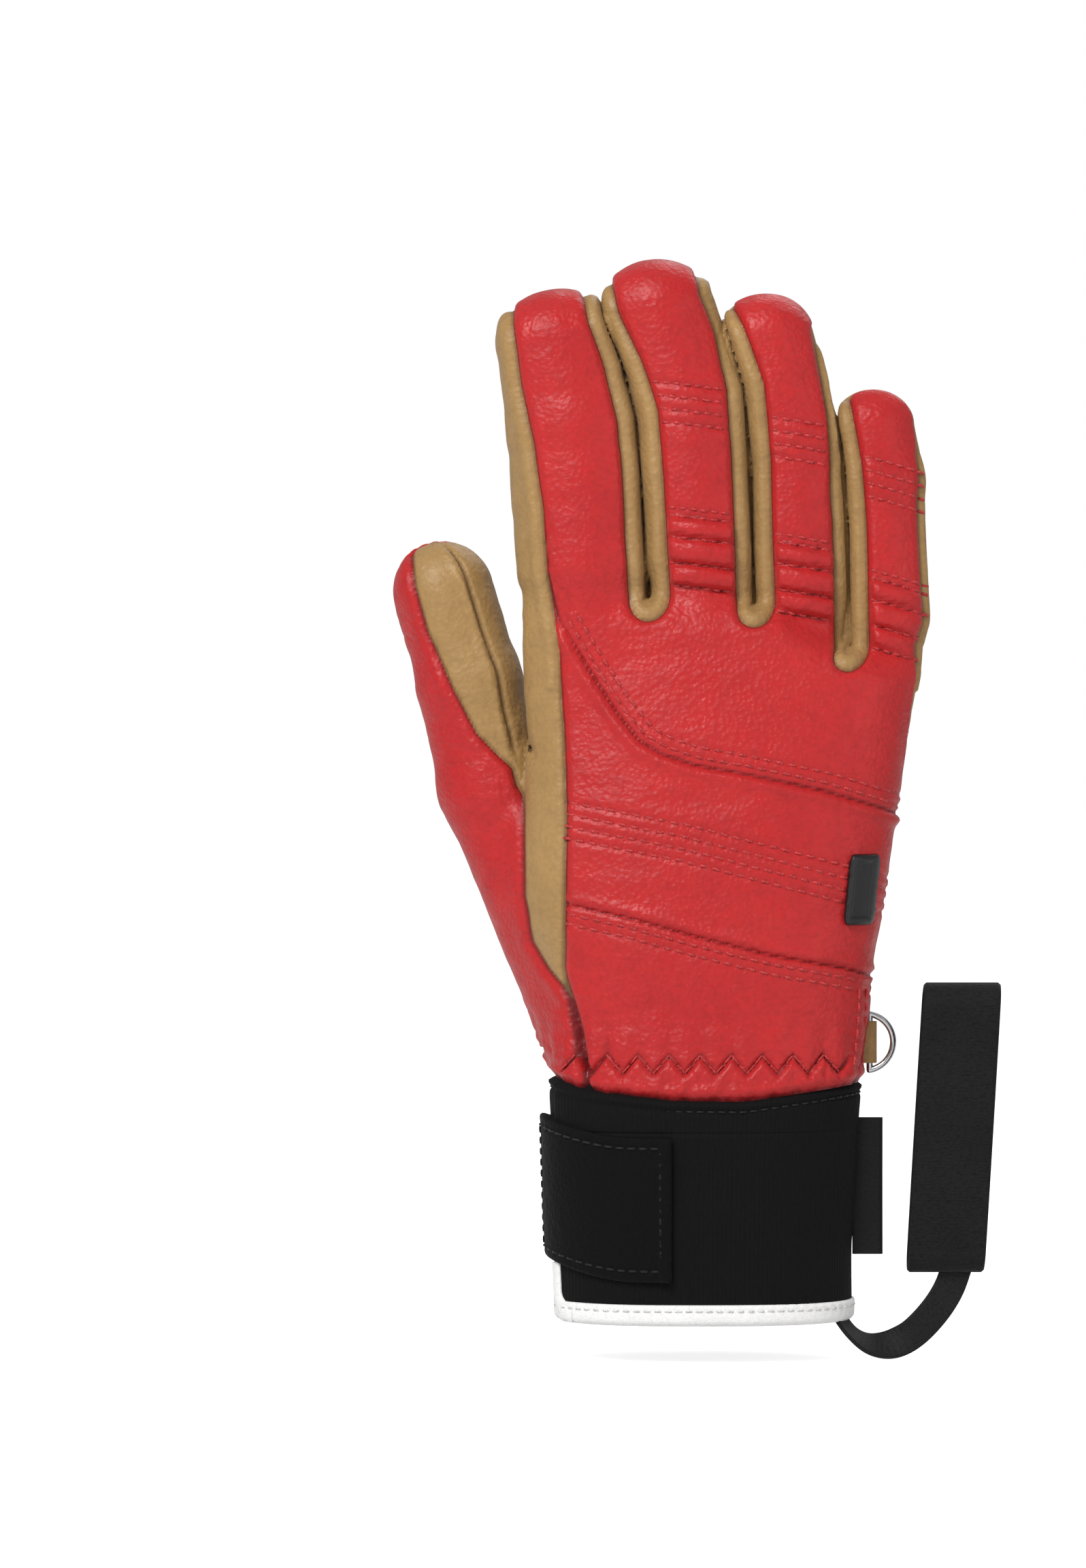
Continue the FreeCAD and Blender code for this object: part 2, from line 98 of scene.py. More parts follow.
MM = 0.001
RANDOM = np.random.default_rng(7)
GRID_STEP = 0.8  # spacing of the points that the leather's surface is built from

FINGERS = ("index", "middle", "ring", "little")

# The hand from the wrist up: height, thumb-side edge, little-finger-side edge, half depth.
HAND_SECTIONS = [
    (40, -39.8, 41.0, 25.2),
    (60, -40.2, 41.5, 25.0),
    (70, -40.5, 42.0, 23.4),
    (79, -40.8, 43.0, 22.8),
    (93, -41.8, 44.0, 23.4),
    (102, -45.6, 46.2, 23.0),
    (115, -47.6, 48.2, 22.2),
    (133, -47.5, 50.5, 20.8),
    (148, -46.8, 52.3, 19.0),
    (161, -47.2, 54.0, 17.2),
    (177, -47.6, 56.0, 15.2),
    (200, -47.6, 56.0, 13.5),
]
HAND_ROUNDNESS = 2.5
HAND_TOP = [(-60, 188), (0, 190), (20, 187), (36, 176), (60, 172)]  # between the fingers, as (x, z)
WEB = 5.0  # how softly the fingers grow out of the hand

# The slits between the fingers, as (x, z) from the tip down, and the half width of each.
SLITS = [
    [(-31, 285), (-26.9, 263), (-22, 251), (-18.3, 237), (-16.9, 221), (-15.9, 201), (-15.2, 190)],
    [(-2, 285), (1, 270), (5.8, 259), (10, 245), (11.5, 225), (12, 206), (12.7, 188.5)],
    [(30, 260), (33, 242), (35.6, 225), (36.8, 206), (37.1, 190), (37.4, 177)],
]
SLIT_HALF_WIDTH = 0.3
SLIT_LEAN = 2.2
# Width of the tan rail on each side of each slit, and below its end.
RAILS = [(4.2, 5.6), (3.8, 5.4), (2.4, 5.6)]
RAIL_TAPER = [(0.2, 0.3), (0.5, 0.2), (0.7, 0.1)]  # how much of that is lost towards the fingertips
RAIL_BELOW = 6.4

THUMB_ROOT = (-30, 9, 80)
THUMB_ROOT_RADIUS = 15.0
THUMB_WEB = 8.0
THUMB_SLIT = [(-60, 215), (-52, 200), (-48.8, 187), (-48.3, 165), (-46.5, 153), (-45, 148)]
THUMB_DEPTH = 6  # the slit beside the thumb leans round this depth
PADDING = 0.6  # the stuffed fingers stand this far proud of their CAD tubes
TIP_SHARE = 0.96  # a fingertip's radius against its finger's
FOOT_DEPTH = 34  # a finger starts this far below its knuckle, inside the hand
FOOT_SHARE = 0.6  # with this share of its full radius
SOFT_BEND = 2.0  # how softly a finger's two parts run together
SOFT_TOP = 6.0  # and how softly the hand is rounded over at the top
SKIN_BOX = np.array([(-88.0, -30.0, 50.0), (64.0, 34.0, 286.0)])  # room that the leather lies in
LINING_BOX = np.array([(-84.0, -28.0, 44.0), (62.0, 32.0, 282.0)])

# Seams, as (x, z).
BACK_EDGE = [(-30.6, 50), (-31, 58), (-32.4, 70), (-35.6, 84), (-37.4, 93), (-37, 107), (-36.4, 130),
             (-36.9, 148), (-38.3, 176),
             (-41.6, 196), (-42.6, 212), (-45.2, 230), (-48.5, 245), (-50.8, 262), (-51, 290)]
UPPER_SEAM = [(-60, 215), (-41.4, 194), (-38.5, 184), (-30.8, 171), (-23, 159), (-17.3, 152), (-11.5, 148.5),
              (-2.9, 145.6), (11.5, 143), (30.8, 139), (51, 133), (70, 127)]
LOWER_SEAM = [(-60, 113), (-37, 109.4), (-19.7, 105.7), (-1, 100.6), (17.5, 96), (36, 92.7), (60, 86)]
QUILT_LINE = [(-60, 140), (-36, 136), (-4.8, 130), (38, 119), (60, 113)]
QUILT_ROWS = 4
ROW_PITCH = 3.1
GUSSET_EDGE = [(-30.4, 50), (-30.8, 58), (-32.2, 70), (-35.6, 84), (-38, 88), (-41.5, 92), (-45.7, 99),
               (-47.6, 111), (-47.8, 125), (-48.2, 138), (-50.4, 145), (-54.3, 148.4), (-60, 154),
               (-66.6, 166), (-73.3, 181), (-76.6, 193), (-77.5, 204), (-77, 210)]
THUMB_PALM_EDGE = [(-21, 50), (-23, 75), (-28, 109), (-33, 134), (-37.5, 145), (-46.5, 154), (-50.5, 165),
                   (-54.6, 180), (-58.5, 192), (-63, 204)]
THUMB_SIDE = [(60, 3), (100, 5), (140, 14), (210, 14)]  # how deep the thumb's side lies, z to y
PALM_SEAM = [(-70, 181), (-38.7, 176), (14, 162), (70, 149)]
PALM_LOW_SEAM = [(-60, 66), (-23, 75), (33, 91), (70, 100)]
SADDLE_SEAM = [(-40, 156), (-31.6, 150), (-22, 142), (-15.8, 132.5), (-12, 120), (-11.3, 108), (-12.4, 98),
               (-17.4, 88), (-24.6, 77)]
LEATHER_END = [(-42, 64), (-31, 60.7), (-10, 58.4), (10, 58.2), (42, 62.5)]  # where the cuff takes over


# ---------------------------------------------------------------- numbers on curves


def smooth_min(a, b, k):
    """The smaller of two distances, rounded over where they are within k of each other."""
    h = np.clip(0.5 + 0.5 * (b - a) / k, 0, 1)
    return b + (a - b) * h - k * h * (1 - h)


def smooth_max(a, b, k):
    """The larger of two distances, rounded in the same way."""
    return -smooth_min(-a, -b, k)


def smooth_step(value, low, high):
    """0 below low, 1 above high, and smooth between."""
    t = np.clip((value - low) / (high - low), 0, 1)
    return t * t * (3 - 2 * t)


def soft_table(points, column, width=9):
    """Height to value through a few points, with the corners rounded off."""
    fine = np.arange(points[0][0] - 40, points[-1][0] + 40, 1.0)
    values = np.interp(fine, [p[0] for p in points], [p[column] for p in points])
    kernel = np.hanning(width + 2)[1:-1]
    padded = np.pad(values, width // 2, mode="edge")
    return fine, np.convolve(padded, kernel / kernel.sum(), mode="valid")


def across(line, x):
    """Height of a seam at x, for a seam given as (x, z) points in order of x."""
    return np.interp(x, [p[0] for p in line], [p[1] for p in line])


def along(line, z):
    """Place of an edge at height z, for an edge given as (x, z) points."""
    points = sorted((p[1], p[0]) for p in line)
    return np.interp(z, [p[0] for p in points], [p[1] for p in points])


def line_distance(line, x, z):
    """Distance in the XZ plane to a line of (x, z) points."""
    best = None
    for (x0, z0), (x1, z1) in zip(line, line[1:]):
        dx, dz = x1 - x0, z1 - z0
        t = np.clip(((x - x0) * dx + (z - z0) * dz) / (dx * dx + dz * dz), 0, 1)
        d = np.hypot(x - x0 - t * dx, z - z0 - t * dz)
        best = d if best is None else np.minimum(best, d)
    return best


def hash_noise(cells, salt):
    """One repeatable number from 0 to 1 for each whole-number cell."""
    n = cells[0] * 374761393 + cells[1] * 668265263 + cells[2] * 2147483647 + salt * 1274126177
    n = (n ^ (n >> 13)) * 1274126177
    return ((n ^ (n >> 16)) & 0xFFFF) / 65535.0


def noise(points, size, salt=0):
    """Smooth noise from -1 to 1, with bumps of about the given size."""
    scaled = points / size
    base = np.floor(scaled).astype(np.int64)
    t = scaled - base
    t = t * t * (3 - 2 * t)
    total = np.zeros(len(points))
    for corner in np.ndindex(2, 2, 2):
        weight = np.ones(len(points))
        for axis in range(3):
            weight = weight * (t[:, axis] if corner[axis] else 1 - t[:, axis])
        total += weight * hash_noise([base[:, axis] + corner[axis] for axis in range(3)], salt)
    return 2 * total - 1


# ---------------------------------------------------------------- the form of the glove


class Digit:
    """Centre line and radii of one finger or the thumb, read from the CAD frame."""

    def __init__(self, name):
        self.name = name
        joints = {j["child"]: j for j in frame["joints"]}
        self.root = np.array(joints[name + "_base"]["pos_m"]) / MM
        self.bend = np.array(joints[name + "_tip"]["pos_m"]) / MM
        parts = ("outer", "inner") if name == "thumb" else ("back", "sides", "palm")
        base = [np.array(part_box(f"{name}_base_{part}")) / MM for part in parts]
        tip = [np.array(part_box(f"{name}_tip_{part}")) / MM for part in parts]
        low = np.min([box[0] for box in tip], axis=0)
        high = np.max([box[1] for box in tip], axis=0)
        root_low = np.min([box[0] for box in base], axis=0)
        root_high = np.max([box[1] for box in base], axis=0)
        self.root_radius = (root_high[1] - root_low[1]) / 2 + PADDING
        self.radius = (high[1] - low[1]) / 2 + PADDING
        self.tip_radius = self.radius * TIP_SHARE
        self.end = np.array([low[0] + self.tip_radius, self.bend[1], high[2] - self.tip_radius])
        self.lower = (self.bend - self.root) / np.linalg.norm(self.bend - self.root)
        self.upper = (self.end - self.bend) / np.linalg.norm(self.end - self.bend)


DIGITS = {name: Digit(name) for name in FINGERS + ("thumb",)}
# The stuffed fingers fill the room up to their slits: how much wider than its CAD tube each one is, and
# how far its middle lies from the tube's.
FULLNESS = {
    "index": (1.2, 2.2),
    "middle": (1.16, 1.0),
    "ring": (1.14, 0.2),
    "little": (1.15, 0.2),
    "thumb": (1, 0),
}
FOOT_DRAWN_IN = {"index": 0, "middle": 0, "ring": 0, "little": 4.5}  # buried roots lie this far inwards


def round_cone(x, y, z, start, end, start_radius, end_radius, fullness=(1, 0)):
    """Distance to a tapered bar with round ends, widened and moved across by its fullness."""
    axis = np.asarray(end, float) - np.asarray(start, float)
    wide, shift = fullness
    x = x - shift
    t = (x - start[0]) * axis[0] + (y - start[1]) * axis[1] + (z - start[2]) * axis[2]
    t = np.clip(t / (axis @ axis), 0, 1)
    dx = (x - start[0] - t * axis[0]) / wide
    dy = y - start[1] - t * axis[1]
    dz = z - start[2] - t * axis[2]
    return np.sqrt(dx * dx + dy * dy + dz * dz) - (start_radius + (end_radius - start_radius) * t)


def finger_form(digit, x, y, z):
    """Distance to a finger: buried root, lower and upper part."""
    full = FULLNESS[digit.name]
    foot = digit.root - digit.lower * FOOT_DEPTH - np.array([FOOT_DRAWN_IN[digit.name], 0, 0])
    root = round_cone(x, y, z, foot, digit.root, digit.root_radius * FOOT_SHARE, digit.root_radius, full)
    lower = round_cone(x, y, z, digit.root, digit.bend, digit.root_radius, digit.radius, full)
    upper = round_cone(x, y, z, digit.bend, digit.end, digit.radius, digit.tip_radius, full)
    return smooth_min(np.minimum(root, lower), upper, SOFT_BEND)


def hand_form(x, y, z):
    """Distance to the hand without its digits: rounded-box sections that change with height."""
    heights, left = soft_table(HAND_SECTIONS, 1)
    right = soft_table(HAND_SECTIONS, 2)[1]
    deep = soft_table(HAND_SECTIONS, 3)[1]
    centre = np.interp(z, heights, (left + right) / 2)
    half = np.interp(z, heights, (right - left) / 2)
    depth = np.interp(z, heights, deep)
    u = np.abs(x - centre) / half + 1e-6
    v = np.abs(y) / depth + 1e-6
    n = HAND_ROUNDNESS
    size = (u**n + v**n) ** (1 / n)
    slope = size ** (1 - n) * np.sqrt((u ** (n - 1) / half) ** 2 + (v ** (n - 1) / depth) ** 2)
    side = (size - 1) / np.maximum(slope, 1e-3)
    top = z - across(HAND_TOP, x) + 0.02 * y * y
    return smooth_max(side, top, SOFT_TOP)


def slit_lean(y):
    """How far the slits step aside between the back and the palm, so that no light shows through them."""
    return SLIT_LEAN * smooth_step(y, -7, 3)


def glove_form(x, y, z):
    """Distance to the whole leather surface, negative inside."""
    hand = hand_form(x, y, z)
    total = None
    for name in FINGERS:
        grown = smooth_min(hand, finger_form(DIGITS[name], x, y, z), WEB)
        total = grown if total is None else np.minimum(total, grown)
    for slit in SLITS:
        total = smooth_max(total, SLIT_HALF_WIDTH - line_distance(slit, x - slit_lean(y), z), 2.0)
    thumb = DIGITS["thumb"]
    root = round_cone(x, y, z, THUMB_ROOT, thumb.root, THUMB_ROOT_RADIUS, thumb.root_radius)
    lower = round_cone(x, y, z, thumb.root, thumb.bend, thumb.root_radius, thumb.radius)
    upper = round_cone(x, y, z, thumb.bend, thumb.end, thumb.radius, thumb.tip_radius)
    free = smooth_min(lower, upper, 3.0)
    total = smooth_min(total, smooth_min(root, free, 4.0), THUMB_WEB * (1 - smooth_step(z, 128, 146)) + 0.1)
    from_slit = line_distance(THUMB_SLIT, x - slit_lean(y - THUMB_DEPTH), z)
    return smooth_max(total, SLIT_HALF_WIDTH - from_slit, 1.6)


def surface_net(field, origin, step):
    """Quad mesh through the zero level of a grid of distances."""
    inside = field < 0
    ends = [slice(0, -1), slice(1, None)]
    corners = [inside[i, j, k] for i in ends for j in ends for k in ends]
    count = sum(corner.astype(np.int8) for corner in corners)
    active = (count > 0) & (count < 8)
    cells = np.argwhere(active)
    index = -np.ones(active.shape, np.int64)
    index[active] = np.arange(len(cells))
    total = np.zeros((len(cells), 3))
    hits = np.zeros(len(cells))
    for axis in range(3):
        others = [a for a in range(3) if a != axis]
        for shift in np.ndindex(2, 2):
            start = cells.copy()
            start[:, others[0]] += shift[0]
            start[:, others[1]] += shift[1]
            end = start.copy()
            end[:, axis] += 1
            a = field[tuple(start.T)]
            b = field[tuple(end.T)]
            crossed = (a < 0) != (b < 0)
            t = np.where(crossed, a / np.where(crossed, a - b, 1), 0)
            point = start.astype(float)
            point[:, axis] += t
            total += np.where(crossed[:, None], point, 0)
            hits += crossed
    verts = total / hits[:, None] * step + origin
    quads = []
    for axis in range(3):
        others = [a for a in range(3) if a != axis]
        low = [slice(1, -1)] * 3
        low[axis] = slice(0, -1)
        high = list(low)
        high[axis] = slice(1, None)
        a, b = inside[tuple(low)], inside[tuple(high)]
        edges = np.argwhere(a != b)
        flips = a[tuple(edges.T)]
        edges[:, others[0]] += 1
        edges[:, others[1]] += 1
        ring = []
        for du, dv in ((0, 0), (1, 0), (1, 1), (0, 1)):
            cell = edges.copy()
            cell[:, others[0]] -= 1 - du
            cell[:, others[1]] -= 1 - dv
            ring.append(index[tuple(cell.T)])
        ring = np.stack(ring, 1)
        turned = flips if axis != 1 else ~flips
        ring[~turned] = ring[~turned][:, ::-1]
        quads.append(ring)
    return verts, np.concatenate(quads)


def form_gradient(points, form):
    """Distance and its direction at each point."""
    x, y, z = points.T
    e = 0.05
    d = form(x, y, z)
    g = np.stack([form(x + e, y, z) - d, form(x, y + e, z) - d, form(x, y, z + e) - d], 1) / e
    return d, g


def glove_mesh():
    """Vertices and triangles of the leather surface, pulled exactly onto the form."""
    low, high = SKIN_BOX
    axes = [np.arange(a, b, GRID_STEP) for a, b in zip(low, high)]
    x = axes[0][:, None, None]
    y = axes[1][None, :, None]
    z = axes[2][None, None, :]
    field = glove_form(x, y, z) + 0 * (x + y + z)
    verts, quads = surface_net(field, low, GRID_STEP)
    for _ in range(3):
        d, g = form_gradient(verts, glove_form)
        verts = verts - (d / np.maximum((g * g).sum(1), 0.05))[:, None] * g
    tris = np.concatenate([quads[:, [0, 1, 2]], quads[:, [0, 2, 3]]])
    return verts, tris


# ---------------------------------------------------------------- where each point of the leather lies

PLEAT_CENTRES = {"middle": 201.6, "ring": 194.6, "little": 185.2}
ROW_CENTRES = {"middle": 240, "ring": 231, "little": 220.6}
PLEAT_GROOVES = (-9.4, -3.6, 3.1, 8.6)  # folds lie between these, from the pleats' centre
PLEAT_TILT = {"middle": -0.12, "ring": -0.16, "little": -0.28}
FOLD = 1.9
BACK_WRAP = 2.6  # how far past the silhouette the red back reaches
SIDE_SHOWS = 3.4  # but beside the knuckles it stops short by this much
ZIGZAG = (65.4, 70.2)
ZIGZAG_START = -38.0
ZIGZAG_PITCH = 4.05
SIDE_OF_WRIST = 40.0


def finger_number(points):
    """0 for the index finger to 3 for the little finger, by the slits that lie between them."""
    x, y, z = points.T
    return sum((x - slit_lean(y) > along(slit, z)).astype(int) for slit in SLITS)


def rail_edge(points, number):
    """Distance past a tan rail's outer edge, for one slit: positive on the red leather."""
    slit = SLITS[number]
    x, _, z = points.T
    distance = line_distance(slit, x, z)
    left, right = RAILS[number]
    share = np.clip((x - along(slit, z)) / np.maximum(distance, 0.5), -1, 1) * 0.5 + 0.5
    width = left + (right - left) * share
    lost, lost_right = RAIL_TAPER[number]
    top = slit[0][1]
    width = width * (1 - (lost + (lost_right - lost) * share) * smooth_step(z, top - 45, top - 20))
    below = np.clip((slit[-1][1] - z) / np.maximum(distance, 0.5), 0, 1)
    return distance - (width + (RAIL_BELOW - width) * below**2)


def red_back(points):
    """Signed distance to the edge of the red back of the hand and fingers, positive on the red."""
    x, y, z = points.T
    inside = (x - along(BACK_EDGE, z)) * 0.97
    for number in range(len(SLITS)):
        reach = 12 if number < 2 else 10
        near = z > SLITS[number][-1][1] - reach
        inside = np.minimum(inside, np.where(near, rail_edge(points, number), 99))
    wrap = BACK_WRAP * smooth_step(z, 96, 130) * np.where(x > 0, 1, smooth_step(z, 235, 262))
    wrap = wrap - SIDE_SHOWS * (x > 0) * smooth_step(z, 140, 162) * (1 - smooth_step(z, 220, 236))
    return np.minimum(inside, (wrap - y) * 1.0)


def thumb_place(points):
    """Distance along the thumb from its first joint, and the angle round it from the back."""
    thumb = DIGITS["thumb"]
    rel = points - thumb.root
    upper = (rel - (thumb.bend - thumb.root)) @ thumb.upper > 0
    past_bend = (points - thumb.bend) @ thumb.upper
    s = np.where(upper, np.linalg.norm(thumb.bend - thumb.root) + past_bend, rel @ thumb.lower)
    upper_x = thumb.bend[0] + (s - THUMB_LOWER_LENGTH) * thumb.upper[0]
    centre_x = np.where(upper, upper_x, thumb.root[0] + s * thumb.lower[0])
    angle = np.degrees(np.arctan2(points[:, 0] - centre_x, thumb.root[1] - points[:, 1]))
    return s, angle


THUMB_CREASE = 32  # inner seam of the thumb, in degrees from the back
THUMB_LOWER_LENGTH = 28.7  # from the thumb's first joint to its second


def red_thumb(points):
    """Signed distance to the edge of the thumb's red panel, positive on the red."""
    _, y, z = points.T
    back = slanted(GUSSET_EDGE, points)
    palm = slanted(THUMB_PALM_EDGE, points)
    middle = np.interp(z, [p[0] for p in THUMB_SIDE], [p[1] for p in THUMB_SIDE])
    share = smooth_step(y, middle - 3, middle + 3)
    return back * (1 - share) + palm * share


def slanted(edge, points):
    """Distance to the left of an edge that leans, measured square to it."""
    x, _, z = points.T
    slope = (along(edge, z + 1) - along(edge, z - 1)) / 2
    return (along(edge, z) - x) / np.sqrt(1 + slope * slope)


def seam_side(line, points):
    """Distance above a seam that crosses the hand, measured square to it."""
    x, _, z = points.T
    slope = (across(line, x + 1) - across(line, x - 1)) / 2
    return (z - across(line, x)) / np.sqrt(1 + slope * slope)


def bump(distance, place, width):
    """Round bump of height 1 at a place, falling off over a width."""
    return np.exp(-(((distance - place) / width) ** 2))


def back_relief(points, red, number):
    """Height added on the red back: seams, quilting, pleats and sewn rows."""
    x, y, z = points.T
    on_back = smooth_step(red, -0.4, 0.6) * smooth_step(-y, -4, 0)
    upper = seam_side(UPPER_SEAM, points)
    lower = seam_side(LOWER_SEAM, points)
    quilt = seam_side(QUILT_LINE, points)
    height = -1.0 * bump(upper, 0, 0.7) + 0.9 * bump(upper, -1.9, 1.3)
    height += -0.4 * (bump(upper, 2.2, 0.6) + bump(upper, 4.8, 0.6)) + 0.25 * bump(upper, 3.5, 0.9)
    height += -1.0 * bump(lower, 0, 0.7) + 0.5 * bump(lower, 1.8, 1.2)
    height += -0.4 * (bump(lower, -2.2, 0.6) + bump(lower, -4.8, 0.6)) + 0.4 * bump(lower, -1.1, 0.8)
    for row in range(QUILT_ROWS):
        height += -0.55 * bump(quilt, -row * ROW_PITCH, 0.6)
    height += 0.35 * bump(quilt, -1.5 * ROW_PITCH, 5)
    for name in PLEAT_CENTRES:
        digit = DIGITS[name]
        mine = (number == FINGERS.index(name)) & (z > 165)
        level = z - PLEAT_CENTRES[name] - PLEAT_TILT[name] * (x - digit.root[0])
        folds = np.zeros(len(points))
        for low, high in zip(PLEAT_GROOVES, PLEAT_GROOVES[1:]):
            t = np.clip((level - low) / (high - low), 0, 1)
            folds += np.sqrt(np.clip(1 - (2 * t - 1) ** 2, 0, 1)) * FOLD
        folds -= 0.5 * bump(level, PLEAT_GROOVES[-1] + 2.2, 0.6)
        for place in PLEAT_GROOVES:
            folds -= 1.1 * bump(level, place, 0.6)
        level = z - ROW_CENTRES[name] - PLEAT_TILT[name] * (x - digit.bend[0])
        for row in range(QUILT_ROWS):
            folds -= 0.6 * bump(level, (row - 1.5) * ROW_PITCH * 1.1, 0.6)
        height += np.where(mine, folds * smooth_step(red, 0.2, 2.6) * smooth_step(-y, -1, 8), 0)
    return height * on_back


def zigzag_height(x):
    """Height of the zigzag seam at the wrist."""
    low, high = ZIGZAG
    steps = (x - ZIGZAG_START) / ZIGZAG_PITCH
    return low + (high - low) * (1 - np.abs(steps % 2 - 1))


def wrist_relief(points):
    """Gathers sewn in at the wrist: leather drawn in along a zigzag, with full lobes below it."""
    x, y, z = points.T
    flat = smooth_step(SIDE_OF_WRIST - np.abs(x), 0, 4)
    steep = math.hypot(1, (ZIGZAG[1] - ZIGZAG[0]) / ZIGZAG_PITCH)
    above = (z - zigzag_height(x)) / steep
    wave = np.cos((x - ZIGZAG_START) * math.pi / ZIGZAG_PITCH) * flat
    wave = wave + np.cos(y * math.pi / ZIGZAG_PITCH) * (1 - flat)
    uneven = 0.55 + 0.6 * noise(points * [1, 1, 0.3], 9, 4)
    over = smooth_step(above, 0, 1.4) * (1 - smooth_step(z, ZIGZAG[1] - 2, ZIGZAG[1] + 13))
    under = smooth_step(-above, 0, 1.4)
    crease = 2 * np.clip(0.3 - np.abs(noise(points * [1.6, 1, 0.35], 3.2, 6)), 0, 1)
    height = flat * (-1.15 * bump(above, 0, 0.55) + 0.75 * under * (1 - smooth_step(-above, 1.5, 5)))
    height += over * 0.6 * wave * uneven - under * 0.35 * wave * uneven
    return height - (0.5 * under + 0.25 * over) * crease


def tan_relief(points, number):
    """Height added on the tan leather: rolled rails beside the slits and seams of the palm."""
    x, y, z = points.T
    palm = smooth_step(y, 2, 6)
    height = np.zeros(len(points))
    edge = strip_edge(points, number)
    height += (1.7 * bump(edge, 0, 0.75) - 0.9 * bump(edge, 1.7, 0.8) - 0.9 * bump(edge, -1.5, 0.7)) * palm
    line = seam_side(PALM_SEAM, points)
    low_line = seam_side(PALM_LOW_SEAM, points)
    height += (-0.9 * bump(line, 0, 0.7) + 0.8 * bump(line, 1.7, 1.2)) * palm
    height += (-0.35 * (bump(line, -2.2, 0.6) + bump(line, -5, 0.6))) * palm
    height += (-0.9 * bump(low_line, 0, 0.7) + 0.8 * bump(low_line, -1.7, 1.2)) * palm
    height += (-0.35 * (bump(low_line, 2.2, 0.6) + bump(low_line, 5, 0.6))) * palm
    saddle = line_distance(SADDLE_SEAM, x, z)
    height += (-0.9 * bump(saddle, 0, 0.8) + 0.4 * bump(saddle, 2.0, 1.0)) * palm
    return height


PALM_HALF = 62  # a palm strip reaches this many degrees to each side
TIP_CAP = 1.5  # and this far past the middle of the fingertip's dome
CROTCH_LINE = [(-60, 184), (10, 184), (30, 178), (37, 172), (60, 172)]  # strips start above it, as (x, z)


def strip_edge(points, number):
    """Distance inside the edge of a finger's tan palm strip; negative beside it, low below the fingers."""
    best = np.full(len(points), -20.0)
    for place, name in enumerate(FINGERS):
        digit = DIGITS[name]
        rel = points - digit.root
        upper = (points - digit.bend) @ digit.upper > 0
        s = np.where(upper, 0, rel @ digit.lower)
        axis_x = np.where(upper, digit.bend[0] + ((points - digit.bend) @ digit.upper) * digit.upper[0],
                          digit.root[0] + s * digit.lower[0])
        off = np.degrees(np.arctan2(np.abs(points[:, 0] - axis_x), points[:, 1] - digit.root[1]))
        inside = np.radians(PALM_HALF - off) * digit.radius
        past = (points - digit.end) @ digit.upper
        inside = np.minimum(inside, TIP_CAP - past)
        mine = (number == place) & (points[:, 2] > across(CROTCH_LINE, points[:, 0]))
        best = np.where(mine, inside, best)
    return best


def leather_height(points, fields):
    """How far the leather stands off its plain form, with and without its unevenness."""
    x, y, z = points.T
    red, thumb, number = fields["red"], fields["thumb"], fields["number"]
    on_thumb = fields["on_thumb"]
    edge = np.where(np.abs(thumb) < np.abs(red), thumb, red)
    height = -1.0 * bump(edge, 0, 0.8)
    rails = (1 - on_thumb) * smooth_step(-y, -6, 0) * (z > 165)
    height += 0.75 * bump(edge, -2.3, 1.5) * rails
    height += 0.35 * bump(edge, 2.2, 1.6)
    hand = 1 - on_thumb
    height += hand * (back_relief(points, red, number) + tan_relief(points, number) * (red < 0))
    height += wrist_relief(points)
    s, angle = thumb_place(points)
    crease = np.radians(angle - THUMB_CREASE) * 13
    seam = -1.1 * bump(crease, 0, 0.7) + 0.6 * bump(crease, -1.8, 1.2)
    height += on_thumb * seam * smooth_step(s, 4, 12)
    notch = bump(x, along(BACK_EDGE, z), 1.5) * (1 - smooth_step(z, 78, 92)) * smooth_step(-y, 0, 4)
    height += -1.5 * notch
    above_end = z - across(LEATHER_END, x)
    height += -1.3 * (1 - smooth_step(above_end, -0.2, 2.4)) + 0.4 * bump(above_end, 2.6, 1.2)
    soft = 0.32 * noise(points, 17, 1) + 0.16 * noise(points * [1, 1, 1.7], 7, 2)
    wrinkle = np.abs(noise(points * [0.6, 0.6, 1.6], 5.5, 5))
    soft -= 0.28 * np.clip(0.35 - wrinkle, 0, 1) * (0.4 + fields["crumple"] * 2.2)
    return height + soft, height


def crumple_zones(points):
    """0 on smooth leather to 1 where it creases: the wrist, the thumb's root and below the knuckles."""
    x, _, z = points.T
    wrist = 1 - smooth_step(z, 74, 96)
    root = bump(np.hypot(x + 52, z - 148), 0, 16)
    knuckles = bump(z, 178, 10) * 0.6
    return np.clip(wrist * 0.8 + root + knuckles, 0, 1)


# ---------------------------------------------------------------- cutting the leather into its panels


